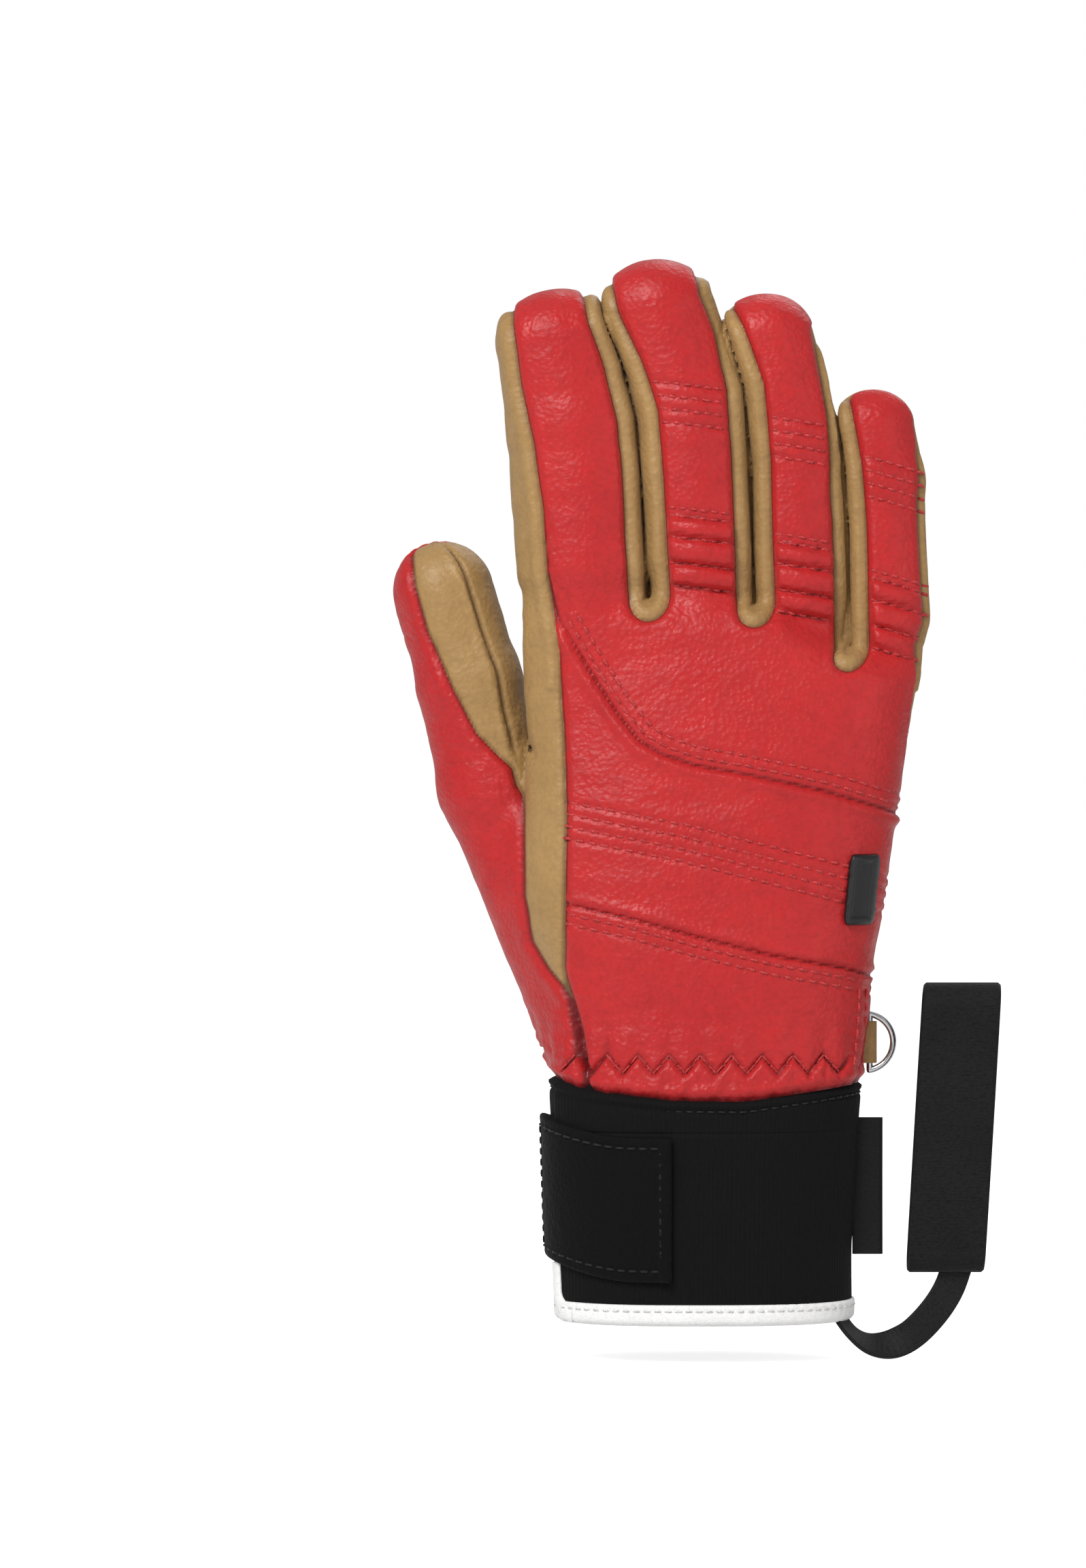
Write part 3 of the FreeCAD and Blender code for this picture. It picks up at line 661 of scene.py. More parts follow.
class Skin:
    """Triangle mesh with named values at its points and named marks on its triangles."""

    def __init__(self, verts, tris):
        self.verts = verts
        self.tris = tris
        self.values = {}
        self.marks = {}

    def normals(self):
        """Smooth unit normal of each point."""
        a, b, c = (self.verts[self.tris[:, i]] for i in range(3))
        face = np.cross(b - a, c - a)
        total = np.zeros_like(self.verts)
        for i in range(3):
            for axis in range(3):
                total[:, axis] += np.bincount(self.tris[:, i], face[:, axis], len(self.verts))
        return total / np.maximum(np.linalg.norm(total, axis=1, keepdims=True), 1e-9)

    def cut(self, name, only=None):
        """Split the triangles that the zero line of a value crosses, and mark those on its positive side."""
        f = self.values[name]
        side = (f > 0)[self.tris]
        count = side.sum(1)
        mixed = (count > 0) & (count < 3)
        if only is not None:
            mixed &= self.marks[only]
        t = self.tris[mixed]
        lone_positive = count[mixed] == 1
        lone = np.argmax(side[mixed] == lone_positive[:, None], axis=1)
        rows = np.arange(len(t))
        a, b, c = (t[rows, (lone + i) % 3] for i in range(3))
        ends = np.concatenate([np.stack([a, b], 1), np.stack([a, c], 1)])
        ordered = np.sort(ends, axis=1)
        edges, places = np.unique(ordered, axis=0, return_inverse=True)
        share = f[edges[:, 0]] / (f[edges[:, 0]] - f[edges[:, 1]])
        first = len(self.verts)
        ab = first + places.ravel()[:len(t)]
        ac = first + places.ravel()[len(t):]

        def extended(array):
            weight = share.reshape((-1,) + (1,) * (array.ndim - 1))
            middle = array[edges[:, 0]] * (1 - weight) + array[edges[:, 1]] * weight
            return np.concatenate([array, middle])

        self.verts = extended(self.verts)
        self.values = {key: extended(array) for key, array in self.values.items()}
        pieces = [np.stack([a, ab, ac], 1), np.stack([ab, b, c], 1), np.stack([ab, c, ac], 1)]
        self.tris = np.concatenate([self.tris[~mixed]] + pieces)
        for key, mark in self.marks.items():
            self.marks[key] = np.concatenate([mark[~mixed]] + [mark[mixed]] * 3)
        whole = count[~mixed] * 2 > 3
        self.marks[name] = np.concatenate([whole, lone_positive, ~lone_positive, ~lone_positive])

    def keep(self, chosen):
        """Drop all but the chosen triangles."""
        used, tris = np.unique(self.tris[chosen], return_inverse=True)
        self.verts = self.verts[used]
        self.tris = tris.reshape(-1, 3)
        self.values = {key: array[used] for key, array in self.values.items()}
        self.marks = {key: mark[chosen] for key, mark in self.marks.items()}


# ---------------------------------------------------------------- which region each point lies in

# Heights at which a finger's leather starts to belong to its lower part, belongs to it fully, and the same
# for its upper part; the leather is cut into regions at the first height and midway between the second and
# third.
ZONES = {
    "index": (191, 216, 222, 247),
    "middle": (191, 220, 227, 253),
    "ring": (189.5, 212, 219, 243),
    "little": (178, 200, 209, 232),
}
THUMB_ZONES = (8, 19, 19, 37)  # the same, along the thumb from its first joint
WRIST_ZONE = (74, 50)
REGIONS = ["wrist", "hand"]
REGIONS += [f"{name}_{part}" for name in FINGERS for part in ("knuckle", "finger")]
REGIONS += ["thumb_knuckle", "thumb_finger"]
WRIST_REGION = REGIONS.index("wrist")
HAND_REGION = REGIONS.index("hand")
THUMB_REGION = REGIONS.index("thumb_knuckle")
OUTSIDE = -9  # stands for any point that can't belong to a region
THUMB_LEVEL = 140  # nothing below this height is the thumb's


def region_fields(points):
    """Signed distances to the planes between the regions."""
    z = points[:, 2]
    number = finger_number(points)
    starts = np.array([ZONES[name][0] for name in FINGERS])[number]
    splits = np.array([(ZONES[name][1] + ZONES[name][2]) / 2 for name in FINGERS])[number]
    s, _ = thumb_place(points)
    beside = along(THUMB_SLIT, z) - points[:, 0] + slit_lean(points[:, 1] - THUMB_DEPTH)
    off_thumb = (beside < 0) | (s < 0)
    return {
        "wrist": WRIST_ZONE[0] - z,
        "knuckle": np.where(off_thumb, z - starts, OUTSIDE),
        "finger": np.where(off_thumb, z - splits, OUTSIDE),
        "thumb_low": np.where(z > THUMB_LEVEL, np.minimum(s - THUMB_ZONES[0], beside), OUTSIDE),
        "thumb_high": np.where(z > THUMB_LEVEL, np.minimum(s - THUMB_ZONES[1], beside), OUTSIDE),
    }


def region_index(points):
    """Number of the region that each point lies in."""
    fields = region_fields(points)
    number = finger_number(points)
    region = np.full(len(points), HAND_REGION)
    region[fields["wrist"] > 0] = WRIST_REGION
    region = np.where(fields["knuckle"] > 0, HAND_REGION + 1 + 2 * number, region)
    region = np.where(fields["finger"] > 0, HAND_REGION + 2 + 2 * number, region)
    region = np.where(fields["thumb_low"] > 0, THUMB_REGION, region)
    return np.where(fields["thumb_high"] > 0, THUMB_REGION + 1, region)


def follow(piece, region):
    """Attach a finished piece to the hand's body if it lies in the hand's region; a piece of any other
    region only has its transform baked.
    """
    name, _, part = region.partition("_")
    if region == "hand":
        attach(piece, "hand")
        return
    if region == "wrist":
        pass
    elif name == "thumb":
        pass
    else:
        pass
    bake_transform(piece)


# ---------------------------------------------------------------- making pieces


def new_mesh(name, verts, faces, smooth=True):
    """Mesh from points in millimetres and faces that all have the same number of corners."""
    mesh = bpy.data.meshes.new(name)
    faces = np.asarray(faces)
    mesh.vertices.add(len(verts))
    mesh.vertices.foreach_set("co", (np.asarray(verts) * MM).astype(np.float32).ravel())
    mesh.loops.add(faces.size)
    mesh.loops.foreach_set("vertex_index", faces.astype(np.int32).ravel())
    mesh.polygons.add(len(faces))
    mesh.polygons.foreach_set("loop_start", np.arange(0, faces.size, faces.shape[1], dtype=np.int32))
    mesh.polygons.foreach_set("use_smooth", np.full(len(faces), smooth))
    mesh.update(calc_edges=True)
    return mesh


def set_attribute(mesh, name, values):
    """Store one number or one vector for each point, for the materials to read."""
    kind = "FLOAT_VECTOR" if values.ndim == 2 else "FLOAT"
    attribute = mesh.attributes.new(name, kind, "POINT")
    attribute.data.foreach_set("vector" if values.ndim == 2 else "value", values.astype(np.float32).ravel())


def new_piece(name, mesh, material):
    """Object that shows a mesh, with its material."""
    piece = bpy.data.objects.new(name, mesh)
    bpy.context.scene.collection.objects.link(piece)
    mesh.materials.append(material)
    return piece


def joined(parts):
    """Several (points, faces) as one."""
    offset = 0
    all_verts, all_faces = [], []
    for verts, faces in parts:
        all_verts.append(np.asarray(verts))
        all_faces.append(np.asarray(faces) + offset)
        offset += len(verts)
    return np.concatenate(all_verts), np.concatenate(all_faces)


def tube(points, radii, sides=6, frames=None, closed=False):
    """Round tube through points; radii can be one for each point, or (across, up) pairs."""
    points = np.asarray(points, float)
    count = len(points)
    if closed:
        heading = np.roll(points, -1, 0) - np.roll(points, 1, 0)
    else:
        heading = np.gradient(points, axis=0)
    heading /= np.linalg.norm(heading, axis=1, keepdims=True)
    up = np.broadcast_to(np.array([0, -1.0, 0]) if frames is None else frames, points.shape)
    across_way = np.cross(heading, up)
    across_way /= np.maximum(np.linalg.norm(across_way, axis=1, keepdims=True), 1e-9)
    up = np.cross(across_way, heading)
    turn = np.arange(sides) * 2 * math.pi / sides
    radii = np.asarray(radii, float)
    if radii.ndim == 1:
        radii = np.stack([radii, radii], 1)
    ring = (across_way[:, None] * (radii[:, :1] * np.cos(turn))[..., None]
            + up[:, None] * (radii[:, 1:] * np.sin(turn))[..., None])
    verts = (points[:, None] + ring).reshape(-1, 3)
    faces = []
    spans = count if closed else count - 1
    for i in range(spans):
        a = i * sides
        b = (i + 1) % count * sides
        for j in range(sides):
            k = (j + 1) % sides
            faces.append((a + j, a + k, b + k, b + j))
    return verts, np.array(faces)


THREAD = 0.44  # radius of the sewing thread


class Sewing:
    """Collects stitches laid on a surface, then makes one piece for each region and thread."""

    def __init__(self, tree):
        self.tree = tree
        self.stitches = {}

    def drop(self, x, z, side):
        """Point and normal on the surface under (x, z), seen from the back (-1) or the palm (1)."""
        hit, normal, _, _ = self.tree.ray_cast(Vector((x, side * 60, z)), Vector((0, -side, 0)))
        if hit is None or abs(normal.y) < 0.12:
            return None
        return np.array(hit), np.array(normal) * (1 if normal.y * side > 0 else -1)

    def add(self, start, end, thread, radius=THREAD):
        """One stitch between two (point, normal) places, sunk in its holes at both ends."""
        (p, n), (q, m) = start, end
        way = q - p
        up = (n + m) / 2
        near, far = p + way * 0.16 + n * 0.10, q - way * 0.16 + m * 0.10
        places = [p - n * 0.45, near, (p + q) / 2 + up * 0.16, far, q - m * 0.45]
        sizes = np.array([0.6, 0.95, 1, 0.95, 0.6]) * radius
        region = REGIONS[int(region_index(((p + q) / 2)[None])[0])]
        shape = tube(places, sizes, 6, frames=up / np.linalg.norm(up))
        self.stitches.setdefault((region, thread), []).append(shape)

    def row(self, line, side, thread, pitch=3.3, gap=0.95, radius=THREAD):
        """A row of stitches along a line of (x, z) points."""
        points = np.array(line, float)
        steps = np.linalg.norm(np.diff(points, axis=0), axis=1)
        places = np.concatenate([[0], np.cumsum(steps)])
        count = max(1, int(round(places[-1] / pitch)))
        for i in range(count):
            low = places[-1] * i / count
            high = low + places[-1] / count - gap
            ends = []
            for s in (low, high):
                wander = RANDOM.normal(0, 0.05, 2)
                x = np.interp(s, places, points[:, 0]) + wander[0]
                z = np.interp(s, places, points[:, 1]) + wander[1]
                ends.append(self.drop(x, z, side))
            if None not in ends and np.linalg.norm(ends[0][0] - ends[1][0]) < 2 * pitch:
                self.add(ends[0], ends[1], thread, radius)


def offset_line(line, distance, low_x, high_x, step=4):
    """A line a set distance above a seam, between two x."""
    x = np.arange(low_x, high_x + step / 2, step)
    slope = (across(line, x + 1) - across(line, x - 1)) / 2
    shift = distance / np.sqrt(1 + slope**2)
    return np.stack([x - slope * shift, across(line, x) + shift], 1)


# ---------------------------------------------------------------- the leather, panel by panel


def leather_fields(points):
    """Named values of each point of the plain form, for the relief and the panels."""
    x, y, z = points.T
    s, _ = thumb_place(points)
    beside = along(THUMB_SLIT, z) - x + slit_lean(y - 6)
    on_thumb = smooth_step(s, -2, 6) * smooth_step(beside, -0.6, 0.2) * (z > 130)
    number = finger_number(points)
    return {
        "red": np.where(on_thumb > 0.5, -9, red_back(points)),
        "thumb": np.where((on_thumb > 0) | (z < 150), red_thumb(points), -9),
        "number": number,
        "on_thumb": on_thumb,
        "crumple": crumple_zones(points),
        "strip": np.where(on_thumb > 0, -9, strip_edge(points, number)),
        "upper": seam_side(UPPER_SEAM, points),
        "lower": seam_side(LOWER_SEAM, points),
        "palm_top": seam_side(PALM_SEAM, points),
        "saddle": np.minimum(np.minimum(along(SADDLE_SEAM, z) - x, y - 1), 156 - z),
        "gusset": np.minimum(-30 - x, 0.5 - y),
    }


def leather_skin():
    """The whole leather surface with its relief, cut at every seam and at the planes between regions."""
    skin = Skin(*glove_mesh())
    fields = leather_fields(skin.verts)
    height, plain = leather_height(skin.verts, fields)
    skin.values = {key: fields[key] for key in fields if key not in ("number", "crumple", "on_thumb")}
    # How deep the relief dips at each point, kept so that the leather's material can paint shade into the
    # grooves
    skin.values["crease"] = np.clip(-plain, 0, 1)
    skin.values["rest"] = skin.verts.copy()
    skin.verts = skin.verts + skin.normals() * height[:, None]
    skin.values["end"] = skin.verts[:, 2] - across(LEATHER_END, skin.verts[:, 0])
    skin.cut("end")
    skin.keep(skin.marks["end"])
    for name, field in region_fields(skin.verts).items():
        skin.values[name] = field
    for name in ("wrist", "knuckle", "finger", "thumb_low", "thumb_high"):
        skin.cut(name)
    for name in ("red", "thumb", "strip", "upper", "lower", "palm_top", "saddle", "gusset"):
        skin.cut(name)
    return skin


def panel_of(values, region):
    """Name of the panel that each triangle belongs to, within its region."""
    fingers = (region > HAND_REGION) & (region < THUMB_REGION)
    thumb = region >= THUMB_REGION
    palm = np.where(values["palm_top"] > 0, "palm_upper", "palm")
    palm = np.where(values["gusset"] > 0, "gusset", palm)
    palm = np.where(values["saddle"] > 0, "thumb_saddle", palm)
    back = np.where(values["lower"] > 0, "back_middle", "back_lower")
    back = np.where(values["upper"] > 0, "back_upper", back)
    hand = np.where(values["thumb"] > 0, "thumb_root", palm)
    hand = np.where(values["red"] > 0, back, hand)
    digit = np.where(values["strip"] > 0, "palm", "sides")
    digit = np.where(values["red"] > 0, "back", digit)
    free = np.where(values["thumb"] > 0, "outer", "inner")
    return np.where(thumb, free, np.where(fingers, digit, hand))


RED_PANELS = {"back_upper", "back_middle", "back_lower", "back", "thumb_root", "outer"}
HAND_NODES = {
    "back_upper": "back_upper_panel",
    "back_middle": "back_middle_panel",
    "back_lower": "back_lower_panel",
    "thumb_root": "thumb_root_outer",
    "thumb_saddle": "thumb_root_saddle",
    "gusset": "thumb_side_gusset",
    "palm_upper": "palm_upper_panel",
    "palm": "palm_panel",
}


def node_of(region, panel):
    """CAD node that a leather piece stands for."""
    if region in ("hand", "wrist"):
        return HAND_NODES[panel]
    name, _, part = region.partition("_")
    return f"{name}_{'base' if part == 'knuckle' else 'tip'}_{panel}"


SCRAP = 40  # in the hand and at the wrist, a patch with fewer triangles than this joins the palm beside it


def make_leather(skin, red, tan):
    """One piece for each panel in each region, with normals shared across their edges."""
    normals = skin.normals()
    middles = skin.verts[skin.tris].mean(axis=1)
    region = region_index(middles)
    names = ("palm_top", "gusset", "saddle", "upper", "lower", "thumb", "red", "strip")
    values = {name: skin.values[name][skin.tris].mean(axis=1) for name in names}
    panel = panel_of(values, region)
    for number, region_name in enumerate(REGIONS):
        for panel_name in np.unique(panel[region == number]):
            chosen = (region == number) & (panel == panel_name)
            if chosen.sum() < SCRAP:
                panel[chosen] = "palm" if region_name in ("hand", "wrist") else panel_name
    for number, region_name in enumerate(REGIONS):
        for panel_name in np.unique(panel[region == number]):
            chosen = (region == number) & (panel == panel_name)
            used, tris = np.unique(skin.tris[chosen], return_inverse=True)
            name = f"{region_name}_{panel_name}"
            mesh = new_mesh(name, skin.verts[used], tris.reshape(-1, 3))
            set_attribute(mesh, "rest", skin.values["rest"][used])
            # the grooves' depth, for the painted shade in the leather's colour
            set_attribute(mesh, "crease", skin.values["crease"][used])
            mesh.normals_split_custom_set_from_vertices(normals[used].tolist())
            is_red = panel_name in RED_PANELS
            piece = new_piece(name, mesh, red if is_red else tan)
            follow(piece, region_name)
            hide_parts(node_of(region_name, str(panel_name)))


LINING_STEP = 2.4  # spacing of the points that the lining is built from
LINING_DEPTH = 4.2  # how far it lies inside the leather's surface


def make_lining(material):
    """Fabric lining inside the leather, open at the wrist, one piece for each region."""
    low, high = LINING_BOX
    x, y, z = (np.arange(a, b, LINING_STEP) for a, b in zip(low, high))
    x, y, z = x[:, None, None], y[None, :, None], z[None, None, :]
    verts, quads = surface_net(glove_form(x, y, z) + LINING_DEPTH + 0 * (x + y + z), low, LINING_STEP)
    skin = Skin(verts, np.concatenate([quads[:, [0, 1, 2]], quads[:, [0, 2, 3]]]))
    skin.values["rest"] = skin.verts.copy()
    for name, field in region_fields(skin.verts).items():
        skin.values[name] = field
    for name in ("wrist", "knuckle", "finger", "thumb_low", "thumb_high"):
        skin.cut(name)
    normals = skin.normals()
    region = region_index(skin.verts[skin.tris].mean(axis=1))
    for number, region_name in enumerate(REGIONS):
        used, tris = np.unique(skin.tris[region == number], return_inverse=True)
        name = f"{region_name}_lining_fabric"
        mesh = new_mesh(name, skin.verts[used], tris.reshape(-1, 3))
        set_attribute(mesh, "rest", skin.values["rest"][used])
        mesh.normals_split_custom_set_from_vertices(normals[used].tolist())
        piece = new_piece(name, mesh, material)
        follow(piece, region_name)
        digit, _, part = region_name.partition("_")
        if part:
            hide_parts(f"{digit}_{'base' if part == 'knuckle' else 'tip'}_lining")
        else:
            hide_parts("hand_lining")


def make_stitches(skin, threads):
    """Every visible row of sewing on the leather."""
    tree = BVHTree.FromPolygons([tuple(v) for v in skin.verts], skin.tris.tolist())
    sewing = Sewing(tree)
    back, palm = -1, 1
    for distance in (2.2, 4.8):
        sewing.row(offset_line(UPPER_SEAM, distance, -37.5, 53), back, "red")
        sewing.row(offset_line(LOWER_SEAM, -distance, -35.5, 40.5), back, "red")
        sewing.row(offset_line(PALM_SEAM, -distance, -38, 46), palm, "tan")
        sewing.row(offset_line(PALM_LOW_SEAM, distance, -21, 40), palm, "tan")
    for turn_x in (40.4, 42.6):
        sewing.row([(turn_x, 87), (turn_x - 0.6, 76), (turn_x - 1.6, 66)], back, "red")
    for row in range(QUILT_ROWS):
        sewing.row(offset_line(QUILT_LINE, -row * ROW_PITCH, -35.5, 50), back, "red")
    for name in PLEAT_CENTRES:
        digit = DIGITS[name]
        for place in PLEAT_GROOVES + (PLEAT_GROOVES[-1] + 2.2,):
            finger_row(sewing, name, digit.root[0], PLEAT_CENTRES[name] + place, "red")
        for row in range(QUILT_ROWS):
            finger_row(sewing, name, digit.bend[0], ROW_CENTRES[name] + (row - 1.5) * ROW_PITCH * 1.1, "red")
    saddle = [(x - 2.2, z) for x, z in SADDLE_SEAM[1:-1]]
    sewing.row(saddle, palm, "tan")
    sewing.row([(-35.6, 163), (16, 152)], palm, "bright")
    sewing.row([(-14, 88.5), (31, 100)], palm, "bright")
    zigzag(sewing, back, "red")
    zigzag(sewing, palm, "bright")
    for (region, thread), shapes in sewing.stitches.items():
        verts, faces = joined(shapes)
        mesh = new_mesh(f"{region}_{thread}_thread", verts, faces)
        follow(new_piece(f"{region}_{thread}_thread", mesh, threads[thread]), region)


def finger_row(sewing, name, middle_x, height, thread):
    """A row of stitches across the red back of one finger."""
    x = np.arange(middle_x - 16, middle_x + 16, 0.5)
    z = height + PLEAT_TILT[name] * (x - middle_x)
    probe = np.stack([x, np.full(len(x), -8.0), z], 1)
    red = np.where(finger_number(probe) == FINGERS.index(name), red_back(probe), -9)
    on = x[red > 1.0]
    if len(on) > 2:
        line = [(u, height + PLEAT_TILT[name] * (u - middle_x)) for u in (on[0], on[-1])]
        sewing.row(line, -1, thread, pitch=2.9)


def zigzag(sewing, side, thread):
    """Zigzag that holds the elastic at the wrist."""
    low, high = ZIGZAG
    count = int(-2 * ZIGZAG_START / ZIGZAG_PITCH)
    corners = [(ZIGZAG_START + i * ZIGZAG_PITCH, high if i % 2 else low) for i in range(count + 1)]
    for (x0, z0), (x1, z1) in zip(corners, corners[1:]):
        stops = ((x0, z0), ((x0 + x1) / 2, (z0 + z1) / 2), (x1, z1))
        ends = [sewing.drop(x, z, side) for x, z in stops]
        if None not in ends:
            sewing.add(ends[0], ends[1], thread, 0.32)
            sewing.add(ends[1], ends[2], thread, 0.32)


# ---------------------------------------------------------------- cuff and closure

CUFF_SECTIONS = [(-10, 0, 38.6, 25.0), (20, 0, 39.2, 25.6), (50, 0.2, 40.4, 25.5), (58, 0.3, 41.0, 24.9),
                 (66, 0.3, 41.0, 24.0)]  # height, centre across, half width, half depth
CUFF_POWER = 2.3
CUFF_WALL = 3.0
CUFF_TOP = 64.0
CUFF_SPLIT = 50.0
SLIT_TOP = 44.0
SLIT_HALF = 1.75
RIB_PITCH = 1.2
TURN = np.linspace(-math.pi, math.pi, 4001)
RING_X = np.sign(np.cos(TURN)) * np.abs(np.cos(TURN)) ** (2 / CUFF_POWER)
RING_Y = np.sign(np.sin(TURN)) * np.abs(np.sin(TURN)) ** (2 / CUFF_POWER)
RING_STEPS = np.hypot(np.diff(RING_X) * 39.4, np.diff(RING_Y) * 25.4)
RING_LENGTH = np.concatenate([[0], np.cumsum(RING_STEPS)])
GIRTH = RING_LENGTH[-1]


def cuff_place(u, z, out):
    """Point u round the cuff (from the thumb side over the back), z up and out from its surface."""
    u, z, out = np.broadcast_arrays(np.asarray(u, float), np.asarray(z, float), np.asarray(out, float))
    c = np.interp(np.mod(u, GIRTH), RING_LENGTH, RING_X)
    s = np.interp(np.mod(u, GIRTH), RING_LENGTH, RING_Y)
    heights = [row[0] for row in CUFF_SECTIONS]
    centre, width, depth = (np.interp(z, heights, [row[i] for row in CUFF_SECTIONS]) for i in (1, 2, 3))
    nx = np.sign(c) * np.abs(c) ** (CUFF_POWER - 1) / width
    ny = np.sign(s) * np.abs(s) ** (CUFF_POWER - 1) / depth
    size = np.maximum(np.hypot(nx, ny), 1e-9)
    return np.stack([centre + width * c + out * nx / size, depth * s + out * ny / size, z], -1)


def round_to(x, side):
    """How far round the cuff x lies, on the back (-1) or the palm (1)."""
    half = (TURN < 0) if side < 0 else (TURN > 0)
    order = np.argsort(RING_X[half])
    return float(np.interp(x / 39.4, RING_X[half][order], RING_LENGTH[half][order]))


def slab(front, behind):
    """Closed sheet between two equal grids of points."""
    rows, columns = front.shape[:2]
    verts = np.concatenate([front.reshape(-1, 3), behind.reshape(-1, 3)])
    grid = np.arange(rows * columns).reshape(rows, columns)
    a, b, c, d = grid[:-1, :-1], grid[1:, :-1], grid[1:, 1:], grid[:-1, 1:]
    top = np.stack([a, b, c, d], -1).reshape(-1, 4)
    under = np.stack([a, d, c, b], -1).reshape(-1, 4) + rows * columns
    edge = np.concatenate([grid[0, :], grid[1:, -1], grid[-1, -2::-1], grid[-2:0:-1, 0]])
    after = np.roll(edge, -1)
    side = np.stack([edge, after, after + rows * columns, edge + rows * columns], 1)
    return verts, np.concatenate([top, under, side])


def rounded_edge(u, v, half_u, half_v, radius):
    """1 inside a rounded rectangle, falling to 0 at its edge over a radius."""
    inside = np.minimum(half_u - np.abs(u), half_v - np.abs(v))
    t = np.clip(inside / radius, 0, 1)
    return np.sqrt(1 - (1 - t) ** 2)


def sheet_piece(name, grids, material, node, body=None):
    """Piece from the front and back grids of a sheet."""
    verts, faces = slab(*grids)
    mesh = new_mesh(name, verts, faces)
    set_attribute(mesh, "rest", verts)
    piece = new_piece(name, mesh, material)
    if body:
        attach(piece, body)
    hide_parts(node)
    return piece


def make_cuff(material, thread):
    """Ribbed neoprene cuff: the wall below the split height, open at the slit, and the part above with the
    seam under its folded top.
    """
    columns = int(GIRTH / RIB_PITCH) * 5
    for name, low, high in (("cuff_lower_wall", 1.2, CUFF_SPLIT), ("cuff_upper_wall", CUFF_SPLIT, CUFF_TOP)):
        z = np.linspace(low, high, int((high - low) / (1.2 if low < CUFF_SPLIT else 0.6)))[:, None]
        share = np.linspace(0, 1, columns)[None, :]
        gap = SLIT_HALF * (1 - smooth_step(z, SLIT_TOP - 3, SLIT_TOP + 0.5))
        u = gap + share * (GIRTH - 2 * gap)
        ribs = 0.06 * np.cos(2 * math.pi * u / RIB_PITCH)
        points = np.stack([u.ravel(), (z + 0 * u).ravel(), 0 * (z + u).ravel()], 1)
        soft = 0.35 * noise(points, 19, 11).reshape(u.shape)
        above = z - across(LEATHER_END, cuff_place(u, z, 0)[..., 0])
        fold = 0.35 * bump(above, -1.1, 1.0) - 0.6 * bump(above, -TOP_FOLD, 0.6)
        fold = fold - 2.6 * smooth_step(above, -0.9, 0.9)
        front = cuff_place(u, z, ribs + soft - 0.1 + flap_rise(u, z) + fold)
        behind = cuff_place(u, z, -CUFF_WALL + 0.2 * soft)
        bends = high > CUFF_SPLIT
        piece = sheet_piece(name, (front, behind), material, "cuff", None if bends else "cuff")
        if bends:
            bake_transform(piece)
            seam = []
            for place in np.arange(FLAP_START, GIRTH - 4, STITCH_PITCH):
                ends = []
                for turn in (place, place + STITCH):
                    x = cuff_place(turn, SEAM_LEVEL, 0)[0]
                    ends.append((turn, across(LEATHER_END, x) - TOP_FOLD))
                seam.append(ends)
            row = cuff_stitches("cuff_seam_thread", seam, -0.35, thread)
            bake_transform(row)


FLAP_START = 9.5  # the back flap's free edge, this far round the cuff from the slit
FLAP_RISE = 1.3
STITCH = 1.9
STITCH_PITCH = 2.7
SEAM_LEVEL = 58  # about the height of the cuff's upper seam
TOP_FOLD = 2.7  # the seam under the cuff's folded top edge lies this far below the leather


def flap_rise(u, z):
    """How far the overlapping back flap of the cuff stands proud; its lower corner is rounded."""
    corner = 6 * (1 - np.sqrt(np.clip(1 - ((7.5 - np.minimum(z, 7.5)) / 7.5) ** 2, 0, 1)))
    past = u - FLAP_START - corner
    return FLAP_RISE * smooth_step(past, -0.15, 0.5) * (1 - smooth_step(past, 14, 44))


def binding_profile():
    """Section of the binding: (out, height) round the folded edge."""
    half = CUFF_WALL / 2 + 0.75
    turn = np.linspace(math.pi, 0, 9)
    fold = [(-CUFF_WALL / 2 - half * math.cos(a), 1.6 - 1.75 * math.sin(a)) for a in turn[::-1]]
    outside = [(0.2, 5.5), (0.65, 5.3), (0.78, 4.6), (0.6, 3.9), (0.75, 3.2)]
    inside = [(-CUFF_WALL - out, z) for out, z in outside[::-1]]
    return np.array(outside + [(-CUFF_WALL - p[0], p[1]) for p in fold] + inside)


def make_binding(material, thread):
    """White tape folded over the cuff's lower edge and sewn through."""
    profile = binding_profile()
    u = np.linspace(SLIT_HALF, GIRTH - SLIT_HALF, 260)[:, None]
    ripple = 0.12 * np.sin(u * 2.1) * np.clip(profile[None, :, 1] / 5, 0, 1)
    outer = profile[None, :, 0] > -CUFF_WALL / 2
    rise = flap_rise(u, 4.0 + 0 * u) * outer
    points = cuff_place(u, profile[None, :, 1], profile[None, :, 0] + ripple + rise)
    count = len(profile)
    verts = points.reshape(-1, 3)
    rows = len(points)
    grid = np.arange(rows * count).reshape(rows, count)
    nxt = np.roll(grid, -1, axis=1)
    faces = np.stack([grid[:-1], nxt[:-1], nxt[1:], grid[1:]], -1).reshape(-1, 4)[:, ::-1]
    mesh = new_mesh("cuff_edge_binding", verts, faces)
    set_attribute(mesh, "rest", verts)
    piece = new_piece("cuff_edge_binding", mesh, material)
    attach(piece, "cuff")
    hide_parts("cuff_binding")
    pairs = [((u, 3.9), (u + STITCH, 3.9)) for u in np.arange(4, GIRTH - 4, STITCH_PITCH)]
    cuff_stitches("binding_thread", pairs, 0.62, thread, "cuff")
    make_flap_binding(material)


